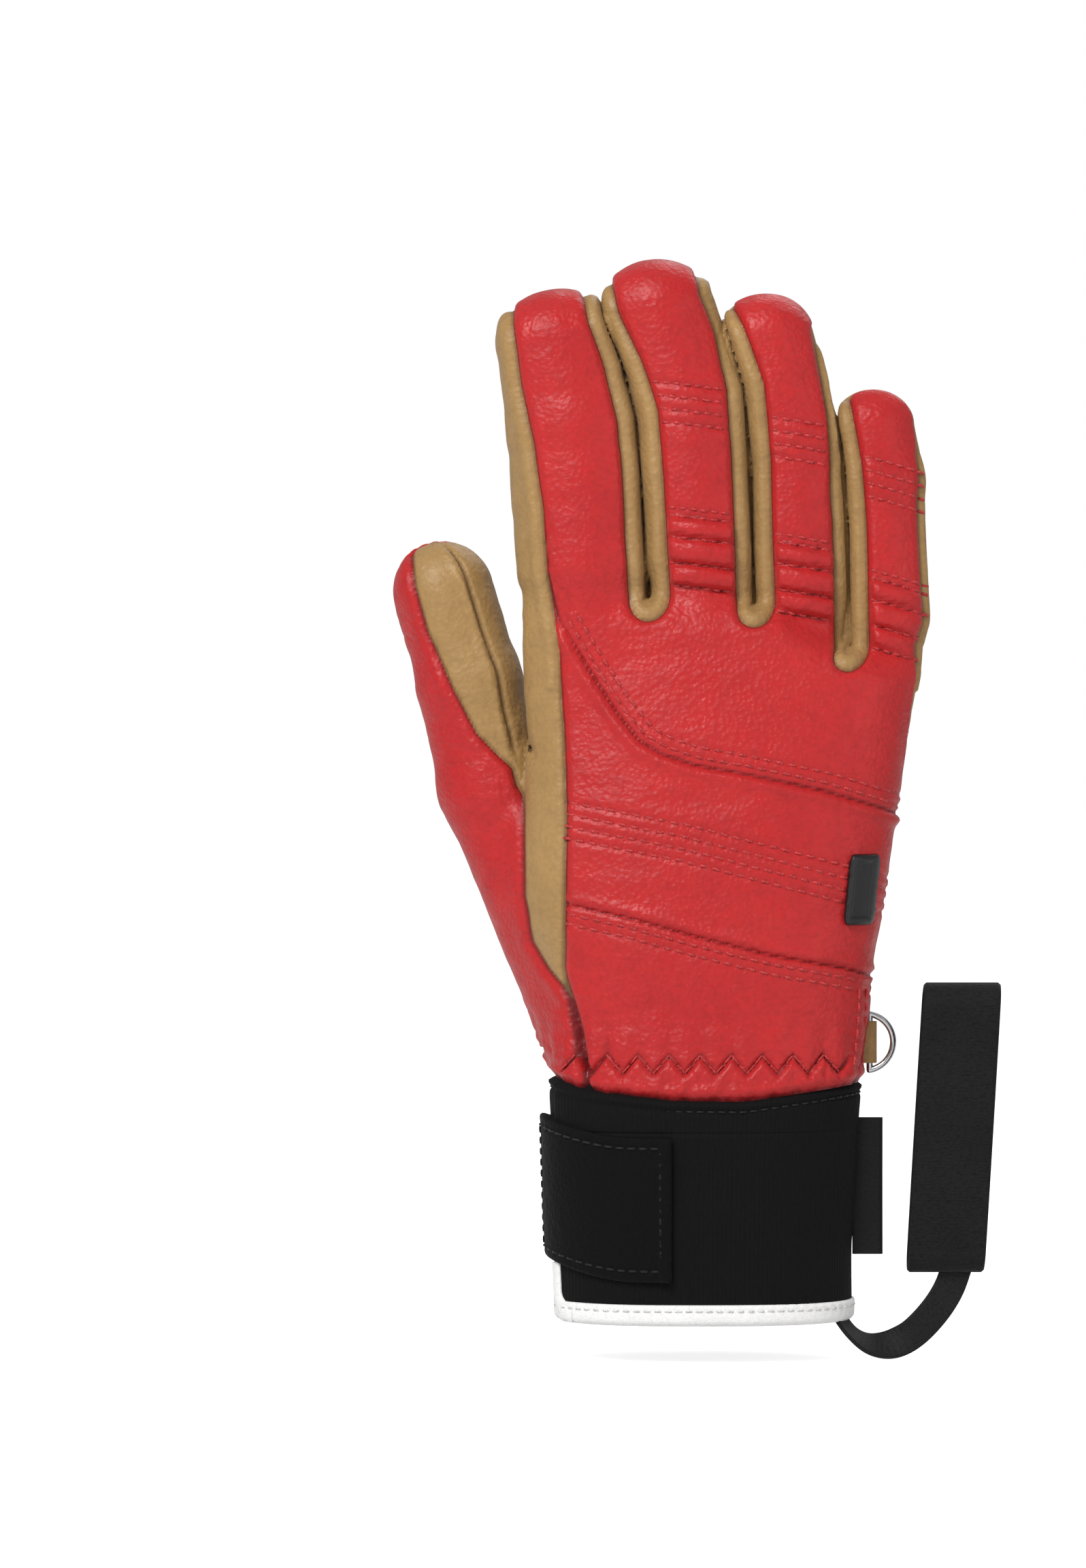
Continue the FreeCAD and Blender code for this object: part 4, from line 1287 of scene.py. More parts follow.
def make_flap_binding(material):
    """The white tape that turns up round the lower corner of the back flap."""
    turn = np.linspace(0, math.pi / 2, 16)
    bend_u = FLAP_START + 7.0 - 7.0 * np.sin(turn)
    bend_z = 8.2 - 5.8 * np.cos(turn)
    rise_z = np.linspace(8.6, 15.5, 10)
    u = np.concatenate([bend_u, FLAP_START - 0.05 * (rise_z - 8)])
    z = np.concatenate([bend_z, rise_z])
    points = cuff_place(u, z, FLAP_RISE + 0.15)
    normal = cuff_place(u, z, 1.0) - cuff_place(u, z, 0.0)
    radii = np.tile([2.3, 0.75], (len(u), 1))
    verts, faces = tube(points, radii, 12, frames=normal)
    mesh = new_mesh("flap_corner_binding", verts, faces)
    set_attribute(mesh, "rest", verts)
    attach(new_piece("flap_corner_binding", mesh, material), "cuff")


def cuff_stitches(name, pairs, out, material, body=None, radius=0.26):
    """Stitches that lie on something wrapped round the cuff, between (u, z) places."""
    shapes = []
    for (u0, z0), (u1, z1) in pairs:
        share = np.array([0, 0.14, 0.5, 0.86, 1])
        rise = np.array([-0.35, 0.08, 0.14, 0.08, -0.35])
        u, z = u0 + (u1 - u0) * share, z0 + (z1 - z0) * share
        points = cuff_place(u, z, out + rise)
        normal = cuff_place(u[2], z[2], 1.0) - cuff_place(u[2], z[2], 0.0)
        points = points + normal * (flap_rise(u, z)[:, None] if name == "binding_thread" else 0)
        shapes.append(tube(points, np.array([0.6, 1, 1, 1, 0.6]) * radius, 6, frames=normal))
    verts, faces = joined(shapes)
    piece = new_piece(name, new_mesh(name, verts, faces), material)
    if body:
        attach(piece, body)
    return piece


def box_rows(u0, z0, u1, z1, pitch=2.8, stitch=2.0):
    """Stitch pairs round a rectangle."""
    pairs = []
    corners = [(u0, z0), (u1, z0), (u1, z1), (u0, z1)]
    for (a, b), (c, d) in zip(corners, corners[1:] + corners[:1]):
        length = math.hypot(c - a, d - b)
        count = max(1, int(length / pitch))
        for i in range(count):
            low = (i + 0.5) / count - stitch / 2 / length
            high = low + stitch / length
            pairs.append(((a + (c - a) * low, b + (d - b) * low), (a + (c - a) * high, b + (d - b) * high)))
    return pairs


STRAP_Z = (11.5, 49.0)
STRAP_THICK = 1.7
STRAP_INSIDE = 1.45  # the free band's inner face, out from the cuff's surface
MESH_PITCH = 1.5  # of the brushed loops
STRAP_SLANT = 5.0  # the strap climbs this much towards the thumb side
STRAP_LEVEL = 34.0  # and lies level this far round from it


def strap_rise(u):
    """How much higher the strap lies, u round the cuff."""
    away = np.minimum(np.mod(u, GIRTH), GIRTH - np.mod(u, GIRTH))
    return STRAP_SLANT * (1 - smooth_step(away, 0, STRAP_LEVEL))


def slant_rows(pairs):
    """Move stitches with the strap."""
    return [((u0, z0 + strap_rise(u0)), (u1, z1 + strap_rise(u1))) for (u0, z0), (u1, z1) in pairs]


def strap_sheet(u0, u1, base, thick, lift=0.0, weave=0.05, hem=0.0):
    """Grids of a strap-like sheet between two places round the cuff."""
    step = 0.45
    u = np.linspace(u0, u1, int(abs(u1 - u0) / step) + 2)[None, :]
    z = np.linspace(STRAP_Z[0], STRAP_Z[1], int((STRAP_Z[1] - STRAP_Z[0]) / step) + 2)[:, None]
    middle = (STRAP_Z[0] + STRAP_Z[1]) / 2
    edge = rounded_edge(u - (u0 + u1) / 2, z - middle, abs(u1 - u0) / 2, middle - STRAP_Z[0], 1.1)
    points = np.stack([(u + 0 * z).ravel(), (z + 0 * u).ravel(), 0 * (u + z).ravel()], 1)
    loops = weave * (noise(points, 0.9, 21) + noise(points, 2.3, 22)).reshape(edge.shape)
    loops = loops + 2 * weave * np.cos(u * 2 * math.pi / MESH_PITCH) * np.cos(z * 2 * math.pi / MESH_PITCH)
    loops = loops + hem * smooth_step(u, u1 - 3.4, u1 - 2.6)
    soft = 0.22 * noise(points, 12, 23).reshape(edge.shape)
    length = abs(u1 - u0)
    rise = lift * smooth_step(abs(u - u0), length * 0.4, length) * smooth_step(z, middle - 6, STRAP_Z[1])
    half = thick / 2
    z = z + strap_rise(u)
    front = cuff_place(u, z, base + half + half * edge + soft + rise + loops * edge)
    behind = cuff_place(u, z, base + half - half * edge + soft + rise)
    return front, behind


def make_strap(fabric, tape, leather, threads):
    """Closure strap: sewn patch on the back, free band and pull tab on the palm, hook pad beneath."""
    patch_end = round_to(-9, -1)
    band_end = round_to(-11.8, 1)
    tab_end = round_to(25.2, 1)
    hinge = round_to(-39.3, 1)
    patch = strap_sheet(-1.5, patch_end, 0.4, 2.4, hem=0.5)
    sheet_piece("closure_patch", patch, fabric, "strap_patch", "cuff")
    rows = box_rows(1, 14.4, patch_end - 2.6, 46.2)
    cuff_stitches("patch_thread", slant_rows(rows), 2.9, threads["black"], "cuff", 0.3)
    band = strap_sheet(hinge, band_end, STRAP_INSIDE, STRAP_THICK)
    sheet_piece("closure_band", band, fabric, "strap_band", "strap")
    tab = strap_sheet(band_end + 0.4, tab_end, STRAP_INSIDE, STRAP_THICK, lift=1.6, weave=0)
    sheet_piece("closure_pull_tab", tab, leather, "pull_tab", "strap")
    outside = STRAP_INSIDE + STRAP_THICK
    rows = box_rows(band_end - 3.5, 15.5, tab_end + 4, 45)
    cuff_stitches("pull_tab_thread", rows, outside + 0.05, threads["tan"], "strap", 0.34)
    rows = slant_rows(box_rows(hinge - 4, 14.2, band_end + 4, 46.4))
    cuff_stitches("band_thread", rows, outside + 0.15, threads["black"], "strap", 0.3)
    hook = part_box("hook_pad")
    u0, u1 = round_to(hook[0][0] / MM, 1), round_to(hook[1][0] / MM, 1)
    z = np.arange(hook[0][2] / MM, hook[1][2] / MM, 0.5)[:, None]
    u = np.arange(min(u0, u1), max(u0, u1), 0.5)[None, :]
    hooks = 0.35 * (np.sin(u * 2 * math.pi / 1.5) > 0) * (np.sin(z * 2 * math.pi / 1.5) > 0)
    grids = (cuff_place(u, z, 0.75 + hooks), cuff_place(u, z, 0.1 + 0 * hooks))
    sheet_piece("closure_hook_pad", grids, tape, "hook_pad", "cuff")


def make_label(material):
    """Folded woven label sewn into the side of the cuff, with nothing written on it."""
    low, high = (np.array(corner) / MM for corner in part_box("side_label"))
    x = np.linspace(low[0] - 0.8, high[0], 30)[None, :]
    z = np.linspace(low[2], high[2], 130)[:, None]
    weave = 0.05 * np.cos(z * 2 * math.pi / 0.8)
    bow = 0.5 * np.sin((z - low[2]) / 36 * math.pi) * (x - low[0]) / 7
    middle = (low[1] + high[1]) / 2
    fold = np.sqrt(np.clip((high[0] - x) / 0.8, 0, 1))
    half = 0.55 * fold
    front = np.stack(np.broadcast_arrays(x, middle - half - weave + bow, z), -1)
    behind = np.stack(np.broadcast_arrays(x, middle + half + weave + bow, z), -1)
    sheet_piece("woven_side_label", (front, behind), material, "side_label", "cuff")


# ---------------------------------------------------------------- badge, D-ring and leash


def make_badge(material, tree):
    """Plain soft moulded bar on the back of the hand, with a raised rim and rounded ends."""
    low, high = (np.array(corner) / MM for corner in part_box("badge"))
    centre_x, centre_z = (low[0] + high[0]) / 2 - 1.2, (low[2] + high[2]) / 2
    half_x, half_z = 4.3, (high[2] - low[2]) / 2 - 0.3
    a, b = np.meshgrid(np.linspace(-half_x, half_x, 60), np.linspace(-half_z, half_z, 110))
    narrow = 1 - 0.3 * (1 - np.sqrt(1 - np.clip((np.abs(b) - half_z + 3) / 3, 0, 1) ** 2))
    x = centre_x + a * narrow + 0.1 * b
    z = centre_z + b
    probes = []
    for px, pz in np.random.default_rng(3).uniform(-1, 1, (160, 2)) * [half_x + 2, half_z + 2]:
        hit = tree.ray_cast(Vector((centre_x + px, -60, centre_z + pz)), Vector((0, 1, 0)))[0]
        if hit is not None:
            probes.append((px, pz, hit.y))
    px, pz, py = np.array(probes).T
    fit = np.linalg.lstsq(np.stack([px**0, px, pz, px * px, px * pz], 1), py, rcond=None)[0]
    u, v = x - centre_x, b
    base = fit[0] + fit[1] * u + fit[2] * v + fit[3] * u * u + fit[4] * u * v
    rim = np.minimum(half_x - np.abs(a), half_z - np.abs(b))
    rise = 1.7 * np.sqrt(1 - (1 - np.clip(rim / 1.3, 0, 1)) ** 2) - 0.5 * smooth_step(rim, 1.7, 2.4)
    front = np.stack([x, base - 0.2 - rise, z], -1)
    behind = np.stack([x, base + 0.9, z], -1)
    sheet_piece("moulded_badge", (front, behind), material, "badge", "hand")


def make_ring_tab(material):
    """Folded leather tab that holds the D-ring's straight bar."""
    low, high = (np.array(corner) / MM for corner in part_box("d_ring_tab"))
    z = np.linspace(low[2], high[2], 40)[:, None]
    turn = np.linspace(-math.pi / 2, math.pi / 2, 15)
    nose_x, radius = high[0] - 1.9, 1.9
    arc = [(nose_x + radius * math.cos(t), radius * math.sin(t)) for t in turn]
    path = [(nose_x - 5.5, -radius - 0.25), (nose_x - 3, -radius - 0.1)] + arc
    path += [(nose_x - 3, radius + 0.1), (nose_x - 5.5, radius + 0.25)]
    path = np.array(path)
    inner = np.array([(x if abs(y) > 1.9 else nose_x + (x - nose_x) * 0.45, y * 0.45) for x, y in path])
    swell = 1 + 0.08 * np.sin((z - low[2]) / (high[2] - low[2]) * math.pi)
    front = np.stack(np.broadcast_arrays(path[None, :, 0], path[None, :, 1] * swell, z), -1)
    behind = np.stack(np.broadcast_arrays(inner[None, :, 0], inner[None, :, 1] * swell, z), -1)
    sheet_piece("ring_loop_tab", (front, behind), material, "d_ring_tab", "hand")


LOOP_LEAN = 0.06  # the hanging loop leans this much of its height
RIBBON_TWIST = 72  # degrees that the ribbon is turned by where it leaves the cuff
RIBBON_LINE = [(35, 1.5), (38.5, -3.5), (43, -6.4), (48.5, -6.6), (53.5, -4.4), (57.5, -0.8), (61.5, 4),
               (64.4, 9), (66.3, 15)]  # as (x, z)


def make_leash(webbing, elastic):
    """Grosgrain ribbon from the cuff, and the ribbed elastic wrist loop sewn to its end."""
    low, high = (np.array(corner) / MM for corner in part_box("leash_ribbon"))
    depth = (low[1] + high[1]) / 2
    count = 90
    share = np.linspace(0, 1, count)
    places = np.linspace(0, 1, len(RIBBON_LINE))
    x = np.interp(share, places, [p[0] for p in RIBBON_LINE])
    z = np.interp(share, places, [p[1] for p in RIBBON_LINE])
    kernel = np.hanning(21)
    kernel /= kernel.sum()
    x, z = (np.convolve(np.pad(v, 10, mode="edge"), kernel, mode="valid") for v in (x, z))
    way = np.stack([np.gradient(x), np.gradient(z)], 1)
    way /= np.linalg.norm(way, axis=1, keepdims=True)
    wide = np.linspace(-4, 4, 17)
    ribs = 0.09 * np.cos(np.arange(count) * math.pi / 1.5)[:, None] * (np.abs(wide) < 3.6)
    twist = (math.radians(RIBBON_TWIST) * (1 - smooth_step(share, 0.1, 0.62)))[:, None]
    side_x, side_z = -way[:, 1:], way[:, :1]
    sheets = []
    for out in (-0.5 + ribs, 0.5 - ribs):
        flat = wide * np.cos(twist) - out * np.sin(twist)
        px = x[:, None] + side_x * flat
        pz = z[:, None] + side_z * flat
        sheets.append(np.stack([px, depth + wide * np.sin(twist) + out * np.cos(twist) + 0 * px, pz], -1))
    front, behind = sheets
    faces = (front[::-1], behind[::-1])
    sheet_piece("grosgrain_ribbon", faces, webbing, "leash_ribbon", "leash_ribbon")
    low, high = (np.array(corner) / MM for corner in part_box("leash_loop"))
    depth = (low[1] + high[1]) / 2
    reach = (high[2] - low[2]) / 2
    radius = (high[1] - low[1]) / 2
    middle = (low[2] + high[2]) / 2
    straight = reach - radius
    path = []
    for t in np.linspace(-1, 1, 150):
        path.append((-radius - 0.6 * (1 - t * t), straight * t))
    for a in np.linspace(0, math.pi, 26)[1:-1]:
        path.append((-radius * math.cos(a), straight + radius * math.sin(a)))
    for t in np.linspace(1, -1, 150):
        path.append((radius + 0.6 * (1 - t * t), straight * t))
    for a in np.linspace(0, math.pi, 26)[1:-1]:
        path.append((radius * math.cos(a), -straight - radius * math.sin(a)))
    path = np.array(path)
    ahead = np.roll(path, -1, 0) - np.roll(path, 1, 0)
    ahead /= np.linalg.norm(ahead, axis=1, keepdims=True)
    normal = np.stack([-ahead[:, 1], ahead[:, 0]], 1)
    wide = np.linspace(low[0], high[0], 33)
    across_share = (wide - low[0]) / (high[0] - low[0])
    steps = np.arange(len(path))
    cord = 0.2 * np.cos(steps * math.pi)[:, None] * (np.abs(across_share - 0.5) < 0.47)
    edge = np.sqrt(np.clip(np.minimum(across_share, 1 - across_share) / 0.03, 0.1, 1))
    lean = LOOP_LEAN * (path[:, 1:] - path[:, 1:].max())
    solids = []
    for sign in (1, -1):
        out = sign * (0.5 * edge + cord)
        y = depth + path[:, :1] + normal[:, :1] * out
        z = middle + path[:, 1:] + normal[:, 1:] * out
        solids.append(np.stack([wide[None, :] + lean + 0 * y, y, z], -1))
    verts, faces = closed_band(solids[0], solids[1])
    mesh = new_mesh("elastic_wrist_loop", verts, faces)
    set_attribute(mesh, "rest", verts)
    piece = new_piece("elastic_wrist_loop", mesh, elastic)
    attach(piece, "leash_loop")
    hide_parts("leash_loop")


def closed_band(outside, inside):
    """Closed band from two grids whose rows run round it."""
    rows, columns = outside.shape[:2]
    verts = np.concatenate([outside.reshape(-1, 3), inside.reshape(-1, 3)])
    grid = np.arange(rows * columns).reshape(rows, columns)
    nxt = np.roll(grid, -1, axis=0)
    shift = rows * columns
    top = np.stack([grid[:, :-1], nxt[:, :-1], nxt[:, 1:], grid[:, 1:]], -1).reshape(-1, 4)
    under = top[:, ::-1] + shift
    left = np.stack([grid[:, 0], grid[:, 0] + shift, nxt[:, 0] + shift, nxt[:, 0]], -1)
    right = np.stack([grid[:, -1], nxt[:, -1], nxt[:, -1] + shift, grid[:, -1] + shift], -1)
    return verts, np.concatenate([top, under, left, right])


def make_wrist_elastic(material):
    """Gathered elastic between the leather and the lining at the wrist."""
    low, high = (np.array(corner)[2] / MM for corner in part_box("wrist_elastic"))
    z = np.linspace(low, high, 12)[:, None]
    turn = np.linspace(0, 2 * math.pi, 241)[:-1][None, :]
    ribs = 0.12 * np.cos(z * 2 * math.pi / 1.2)
    grids = []
    for out in (-3.3 + ribs, -3.8 + 0 * ribs):
        x = 0.4 + (41.5 + out) * np.sign(np.cos(turn)) * np.abs(np.cos(turn)) ** 0.8
        y = (23.6 + out) * np.sign(np.sin(turn)) * np.abs(np.sin(turn)) ** 0.8
        grids.append(np.stack(np.broadcast_arrays(x, y, z), -1).transpose(1, 0, 2))
    verts, faces = closed_band(*grids)
    mesh = new_mesh("wrist_elastic_band", verts, faces)
    set_attribute(mesh, "rest", verts)
    piece = new_piece("wrist_elastic_band", mesh, material)
    follow(piece, "wrist")
    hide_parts("wrist_elastic")


# ---------------------------------------------------------------- materials


class Shader:
    """Small helper that wires up one material; lengths in the textures are in millimetres."""

    def __init__(self, name, roughness, specular=0.5):
        self.material = bpy.data.materials.new(name)
        self.material.use_nodes = True
        self.nodes = self.material.node_tree.nodes
        self.links = self.material.node_tree.links
        self.surface = self.nodes["Principled BSDF"]
        self.surface.inputs["Roughness"].default_value = roughness
        self.surface.inputs["Specular IOR Level"].default_value = specular
        self.height = None

    def node(self, kind, **inputs):
        """New node with some of its inputs set, or linked where they are given as outputs."""
        node = self.nodes.new(kind)
        for name, value in inputs.items():
            self.feed(value, node.inputs[name.replace("_", " ")])
        return node

    def feed(self, value, target):
        """Link an output to an input, or set its value."""
        if isinstance(value, bpy.types.NodeSocket):
            self.links.new(value, target)
        else:
            target.default_value = value

    def place(self, stretch=(1, 1, 1)):
        """The point's place at rest, in millimetres, stretched along each axis."""
        rest = self.nodes.new("ShaderNodeAttribute")
        rest.attribute_name = "rest"
        node = self.node("ShaderNodeVectorMath", Vector=rest.outputs["Vector"])
        node.operation = "MULTIPLY"
        node.inputs[1].default_value = stretch
        return node.outputs["Vector"]

    def noise(self, size, detail=3.0, stretch=(1, 1, 1)):
        """Cloudy noise from 0 to 1, of a size in millimetres."""
        node = self.node("ShaderNodeTexNoise", Vector=self.place(stretch), Scale=1 / size, Detail=detail)
        return node.outputs["Fac"]

    def pebbles(self, size, stretch=(1, 1, 1), feature="SMOOTH_F1"):
        """Distance to the nearest of many scattered points: the pebbled grain of leather."""
        node = self.node("ShaderNodeTexVoronoi", Vector=self.place(stretch), Scale=1 / size)
        node.feature = feature
        return node.outputs["Distance"]

    def attribute(self, name):
        """A number stored at each point."""
        node = self.nodes.new("ShaderNodeAttribute")
        node.attribute_name = name
        return node.outputs["Fac"]

    def maths(self, operation, a, b):
        """One arithmetic step."""
        node = self.nodes.new("ShaderNodeMath")
        node.operation = operation
        self.feed(a, node.inputs[0])
        self.feed(b, node.inputs[1])
        return node.outputs[0]

    def ramp(self, value, low, high, to_low=0.0, to_high=1.0):
        """Stretch a range of values to another range, and clamp it."""
        node = self.nodes.new("ShaderNodeMapRange")
        for place, number in enumerate((value, low, high, to_low, to_high)):
            self.feed(number, node.inputs[place])
        return node.outputs[0]

    def mix(self, share, first, second):
        """Blend two colours."""
        node = self.nodes.new("ShaderNodeMix")
        node.data_type = "RGBA"
        self.feed(share, node.inputs["Factor"])
        self.feed(first, node.inputs["A"])
        self.feed(second, node.inputs["B"])
        return next(output for output in node.outputs if output.type == "RGBA")

    def bump(self, height, strength, depth):
        """Add fine relief, depth in millimetres."""
        node = self.node("ShaderNodeBump", Height=height, Strength=strength, Distance=depth * MM)
        if self.height is not None:
            self.links.new(self.height, node.inputs["Normal"])
        self.height = node.outputs["Normal"]
        self.links.new(self.height, self.surface.inputs["Normal"])

    def set(self, name, value):
        """Set or link one input of the surface."""
        self.feed(value, self.surface.inputs[name])


def rgb(red, green, blue):
    """Linear colour from the usual 0 to 255 numbers."""
    linear = []
    for value in (red / 255, green / 255, blue / 255):
        linear.append(value / 12.92 if value <= 10 / 255 else ((value + 0.055) / 1.055) ** 2.4)
    return (*linear, 1.0)


def leather_material(name, light, main, dark, wear, roughness):
    """Full-grain leather: pebbled grain, cloudy colour, painted shade in the creases and grooves, and pale
    wear.
    """
    shader = Shader(name, roughness, 0.3)
    cloud = shader.ramp(shader.noise(30, 3), 0.3, 0.75, 0.2, 0.8)
    fine = shader.ramp(shader.noise(5, 5), 0.3, 0.75)
    colour = shader.mix(cloud, main, light)
    colour = shader.mix(shader.maths("MULTIPLY", fine, 0.14), colour, dark)
    grain = shader.pebbles(1.15)
    pores = shader.ramp(shader.pebbles(0.62), 0.05, 0.35)
    colour = shader.mix(shader.ramp(grain, 0.35, 0.85, 0.0, 0.16), colour, dark)
    # Painted shade: the colour is darkened towards the dark tone where the relief dips, at seams, pleats and
    # grooves
    crease = shader.ramp(shader.attribute("crease"), 0.25, 1.0, 0.0, 0.8)
    colour = shader.mix(crease, colour, dark)
    scuff = shader.ramp(shader.noise(2.2, 6, (1, 1, 0.35)), 0.66, 0.82, 0.0, 0.35)
    colour = shader.mix(scuff, colour, wear)
    shader.set("Base Color", colour)
    shader.set("Roughness", shader.ramp(fine, 0, 1, roughness - 0.07, roughness + 0.09))
    shader.bump(grain, 0.7, 0.3)
    shader.bump(pores, 0.35, 0.08)
    shader.bump(shader.noise(3.4, 5, (1, 1, 2.2)), 0.5, 0.35)
    shader.set("Sheen Weight", 0.05)
    shader.set("Sheen Roughness", 0.5)
    return shader.material


def woven_material(name, main, dark, size, stretch, roughness, depth=0.12, sheen=0.3):
    """Woven or knitted cloth: close threads, cloudy colour and a little fuzz."""
    shader = Shader(name, roughness, 0.2)
    threads = shader.pebbles(size, stretch)
    cloud = shader.ramp(shader.noise(14, 4), 0.3, 0.7)
    colour = shader.mix(shader.ramp(threads, 0.3, 0.8), main, dark)
    colour = shader.mix(shader.maths("MULTIPLY", cloud, 0.4), colour, dark)
    shader.set("Base Color", colour)
    shader.bump(threads, 0.7, depth)
    shader.bump(shader.noise(size * 0.6, 3), 0.4, depth * 0.5)
    shader.set("Sheen Weight", sheen)
    return shader.material


def thread_material(name, main, dark):
    """Twisted sewing thread."""
    shader = Shader(name, 0.55, 0.35)
    place = shader.nodes.new("ShaderNodeTexCoord").outputs["Object"]
    twist = shader.node("ShaderNodeTexNoise", Vector=place, Scale=2600.0, Detail=2.0).outputs["Fac"]
    shader.set("Base Color", shader.mix(shader.ramp(twist, 0.35, 0.65), dark, main))
    shader.bump(twist, 0.6, 0.12)
    shader.set("Sheen Weight", 0.08)
    return shader.material


def hard_material(name, colour, roughness, metallic=0.0, scratch=0.3):
    """Moulded plastic or plated wire, with faint scratches."""
    shader = Shader(name, roughness, 0.5)
    place = shader.nodes.new("ShaderNodeTexCoord").outputs["Object"]
    fine = shader.node("ShaderNodeTexNoise", Vector=place, Scale=900.0, Detail=4.0).outputs["Fac"]
    darker = tuple(value * 0.6 for value in colour)
    shader.set("Base Color", shader.mix(shader.ramp(fine, 0.4, 0.7, 0, 0.25), colour, darker))
    shader.set("Metallic", metallic)
    shader.set("Roughness", shader.ramp(fine, 0.3, 0.7, roughness * 0.8, roughness * 1.4))
    shader.bump(fine, scratch, 0.04)
    return shader.material


def dress_node(name, material):
    """Give a CAD node that stays a new material."""
    for piece in bpy.data.objects:
        if piece.type == "MESH" and piece.name == name:
            for slot in piece.material_slots:
                slot.material = material


# ---------------------------------------------------------------- the stage

PICTURE_HEIGHT = 0.4094  # metres of the object's world that fill the height of the picture
PICTURE_CENTRE = (-0.0424, 0.1407)
CAMERA_REACH = 1.5
FRONT = -0.015  # depth of the plane that is drawn to scale
FLOOR_GAP = 0.0006
SOFT_LIGHT = 0.37  # light from all round
BACKGROUND = 1.0  # how bright that looks behind the glove
FLOOR_GLOW = 0.8  # keeps the far floor as pale as the background
FLOOR_REACH = 30.0
GLOVE_MIDDLE = (0.0, 0.0, 0.14)
# Where each light stands, how wide it is and its power in watts.
LIGHTS = {
    "key_light": ((-0.65, -1.25, 1.25), 0.7, 26),
    "fill_light": ((1.3, -1.3, 0.4), 1.2, 5),
    "back_light": ((0.4, 0.9, 1.2), 0.9, 4),
}


def make_stage():
    """Wide pale floor just under the glove."""
    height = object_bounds()[0][2] - FLOOR_GAP
    corners = [(-FLOOR_REACH, -FLOOR_REACH), (FLOOR_REACH, -FLOOR_REACH), (FLOOR_REACH, FLOOR_REACH),
               (-FLOOR_REACH, FLOOR_REACH)]
    mesh = bpy.data.meshes.new("studio_floor")
    mesh.from_pydata([(x, y, height) for x, y in corners], [], [(0, 1, 2, 3)])
    floor = bpy.data.objects.new("studio_floor", mesh)
    bpy.context.scene.collection.objects.link(floor)
    shader = Shader("pale_floor", 0.8, 0.2)
    shader.set("Base Color", (0.9, 0.9, 0.9, 1))
    shader.set("Emission Color", (1, 1, 1, 1))
    seen = shader.nodes.new("ShaderNodeLightPath").outputs["Is Camera Ray"]
    shader.set("Emission Strength", shader.maths("MULTIPLY", seen, FLOOR_GLOW))
    mesh.materials.append(shader.material)
    floor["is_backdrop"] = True


def add_light(name, place, aim, size, power):
    """Soft square light aimed at a point."""
    data = bpy.data.lights.new(name, "AREA")
    data.size = size
    data.energy = power
    lamp = bpy.data.objects.new(name, data)
    lamp.location = place
    lamp.rotation_euler = (Vector(aim) - Vector(place)).to_track_quat("-Z", "Y").to_euler()
    bpy.context.scene.collection.objects.link(lamp)


def make_lights_and_camera():
    """Soft light from the upper left, fill from the right, and the camera on the back of the hand."""
    for name, (place, size, power) in LIGHTS.items():
        add_light(name, place, GLOVE_MIDDLE, size, power)
    bpy.context.scene.view_settings.view_transform = "Standard"
    world = bpy.data.worlds.new("studio")
    world.use_nodes = True
    sky = world.node_tree.nodes["Background"]
    sky.inputs["Color"].default_value = (1, 1, 1, 1)
    ray = world.node_tree.nodes.new("ShaderNodeLightPath")
    level = world.node_tree.nodes.new("ShaderNodeMapRange")
    level.inputs["To Min"].default_value = SOFT_LIGHT
    level.inputs["To Max"].default_value = BACKGROUND
    world.node_tree.links.new(ray.outputs["Is Camera Ray"], level.inputs["Value"])
    world.node_tree.links.new(level.outputs[0], sky.inputs["Strength"])
    bpy.context.scene.world = world
    data = bpy.data.cameras.new("camera")
    data.sensor_fit = "VERTICAL"
    data.angle = 2 * math.atan(PICTURE_HEIGHT / 2 / CAMERA_REACH)
    camera = bpy.data.objects.new("camera", data)
    camera.location = (PICTURE_CENTRE[0], FRONT - CAMERA_REACH, PICTURE_CENTRE[1])
    camera.rotation_euler = (math.radians(90), 0, 0)
    bpy.context.scene.collection.objects.link(camera)
    bpy.context.scene.camera = camera


# ---------------------------------------------------------------- putting it together


# How each cloth's threads are stretched across, deep and up.
EVEN = (1, 1, 1)
UPRIGHT = (1, 1, 0.35)
FLAT_WEAVE = (0.7, 1, 1.6)


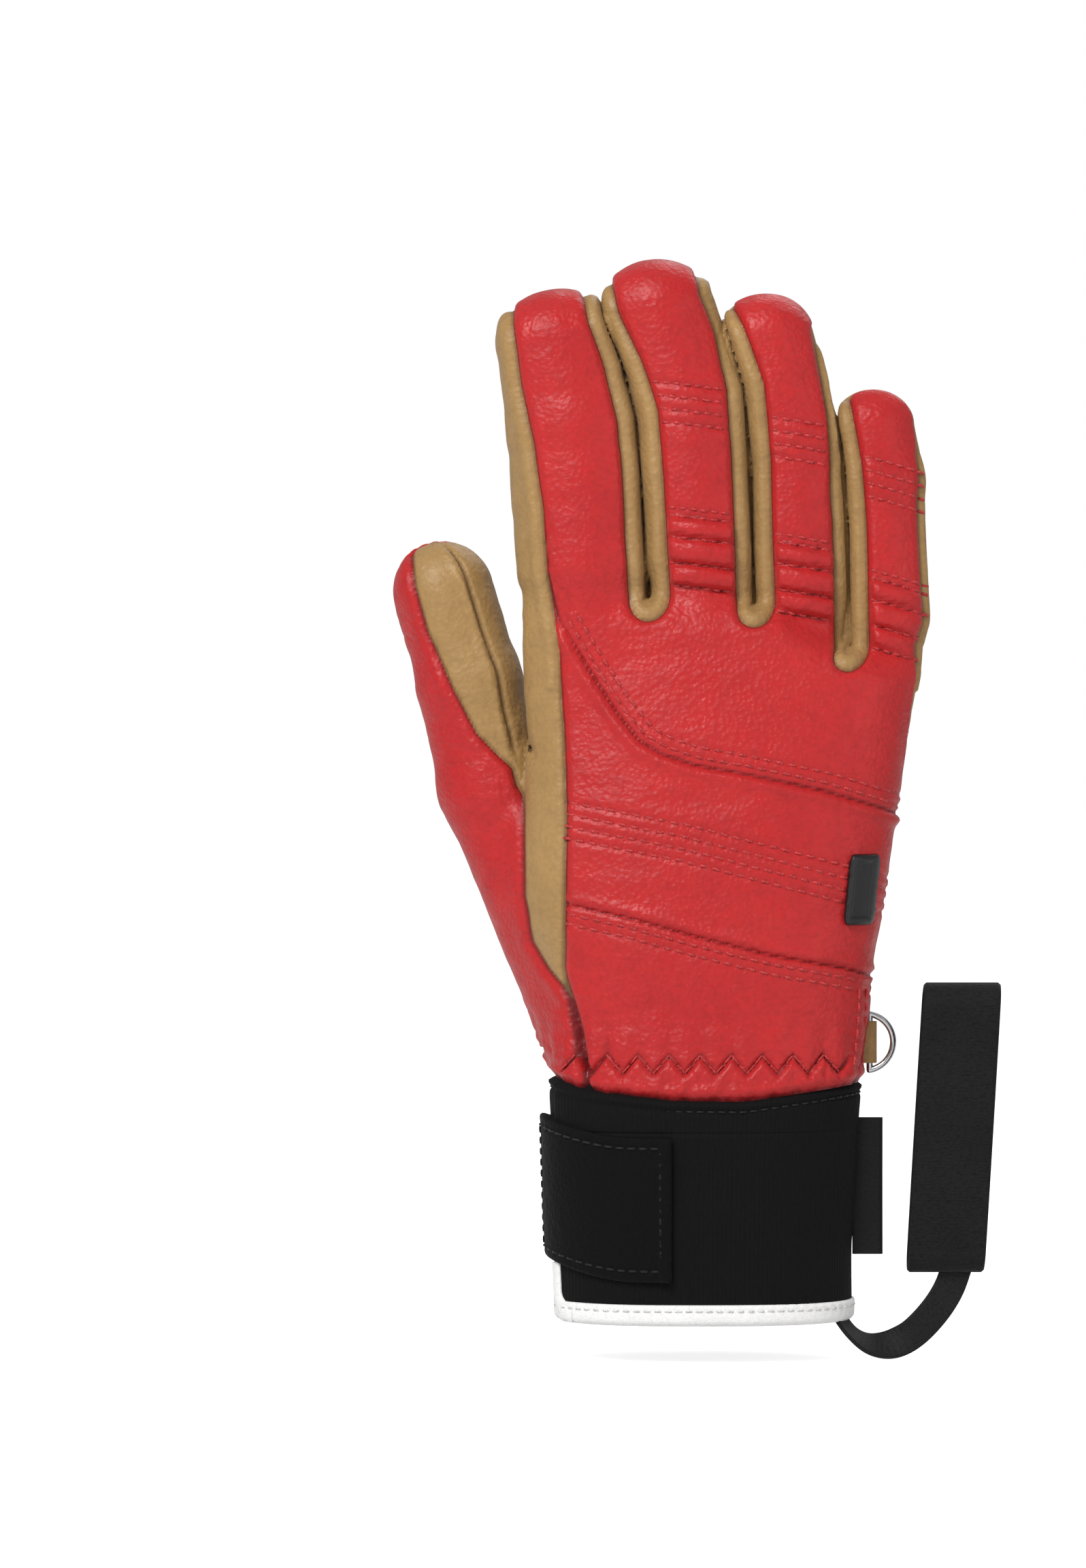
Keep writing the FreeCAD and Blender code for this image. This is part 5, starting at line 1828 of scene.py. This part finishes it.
def main():
    """Build every piece, then the stage."""
    red = leather_material("red_grain_leather", rgb(192, 38, 39), rgb(176, 28, 31), rgb(78, 6, 11),
                           rgb(200, 64, 60), 0.42)
    tan = leather_material("tan_grain_leather", rgb(172, 137, 87), rgb(154, 120, 72), rgb(84, 59, 30),
                           rgb(188, 157, 110), 0.46)
    lining = woven_material("lining_fleece", rgb(38, 38, 42), rgb(12, 12, 14), 1.1, EVEN, 0.95, 0.4, 0.3)
    neoprene = woven_material("ribbed_neoprene", rgb(5, 5, 5), rgb(1, 1, 1), 0.6, UPRIGHT, 0.85, 0.07, 0.02)
    dark, darker = rgb(26, 26, 27), rgb(6, 6, 7)
    elastic = woven_material("black_elastic", dark, darker, 0.6, FLAT_WEAVE, 0.75, 0.12, 0.06)
    webbing = woven_material("black_grosgrain", rgb(28, 28, 30), rgb(7, 7, 8), 0.5, EVEN, 0.65, 0.07, 0.05)
    white, shade = rgb(246, 246, 245), rgb(226, 226, 225)
    binding = woven_material("white_tape", white, shade, 0.5, (1, 1, 1.5), 0.7, 0.05, 0.1)
    fabric = woven_material("closure_fabric", rgb(3, 3, 4), rgb(1, 1, 1), 1.0, EVEN, 0.9, 0.25, 0.03)
    tape = woven_material("closure_hooks", rgb(20, 20, 22), rgb(5, 5, 6), 0.5, EVEN, 0.6, 0.2, 0.02)
    label = woven_material("label_weave", rgb(24, 24, 26), rgb(8, 8, 9), 0.5, (1, 1, 2), 0.6, 0.06, 0.05)
    plastic = hard_material("moulded_rubber", rgb(16, 16, 17), 0.34)
    chrome = hard_material("bright_chrome", (0.62, 0.62, 0.64, 1), 0.14, 1.0, 0.08)
    threads = {
        "red": thread_material("red_thread", rgb(206, 62, 62), rgb(140, 22, 26)),
        "bright": thread_material("bright_red_thread", rgb(226, 40, 44), rgb(170, 18, 24)),
        "tan": thread_material("tan_thread", rgb(224, 196, 148), rgb(170, 138, 92)),
        "black": thread_material("black_thread", rgb(9, 9, 10), rgb(2, 2, 3)),
        "white": thread_material("white_thread", rgb(236, 236, 234), rgb(176, 176, 174)),
    }
    skin = leather_skin()
    make_leather(skin, red, tan)
    make_stitches(skin, threads)
    make_lining(lining)
    make_wrist_elastic(elastic)
    make_cuff(neoprene, threads["black"])
    make_binding(binding, threads["white"])
    make_strap(fabric, tape, tan, threads)
    make_label(label)
    tree = BVHTree.FromPolygons([tuple(v) for v in skin.verts], skin.tris.tolist())
    make_badge(plastic, tree)
    make_ring_tab(tan)
    make_leash(webbing, elastic)
    dress_node("d_ring", chrome)
    make_stage()
    make_lights_and_camera()


for leftover in [piece for piece in bpy.data.objects if piece.name in ("Cube", "Light", "Camera")]:
    bpy.data.objects.remove(leftover)
main()
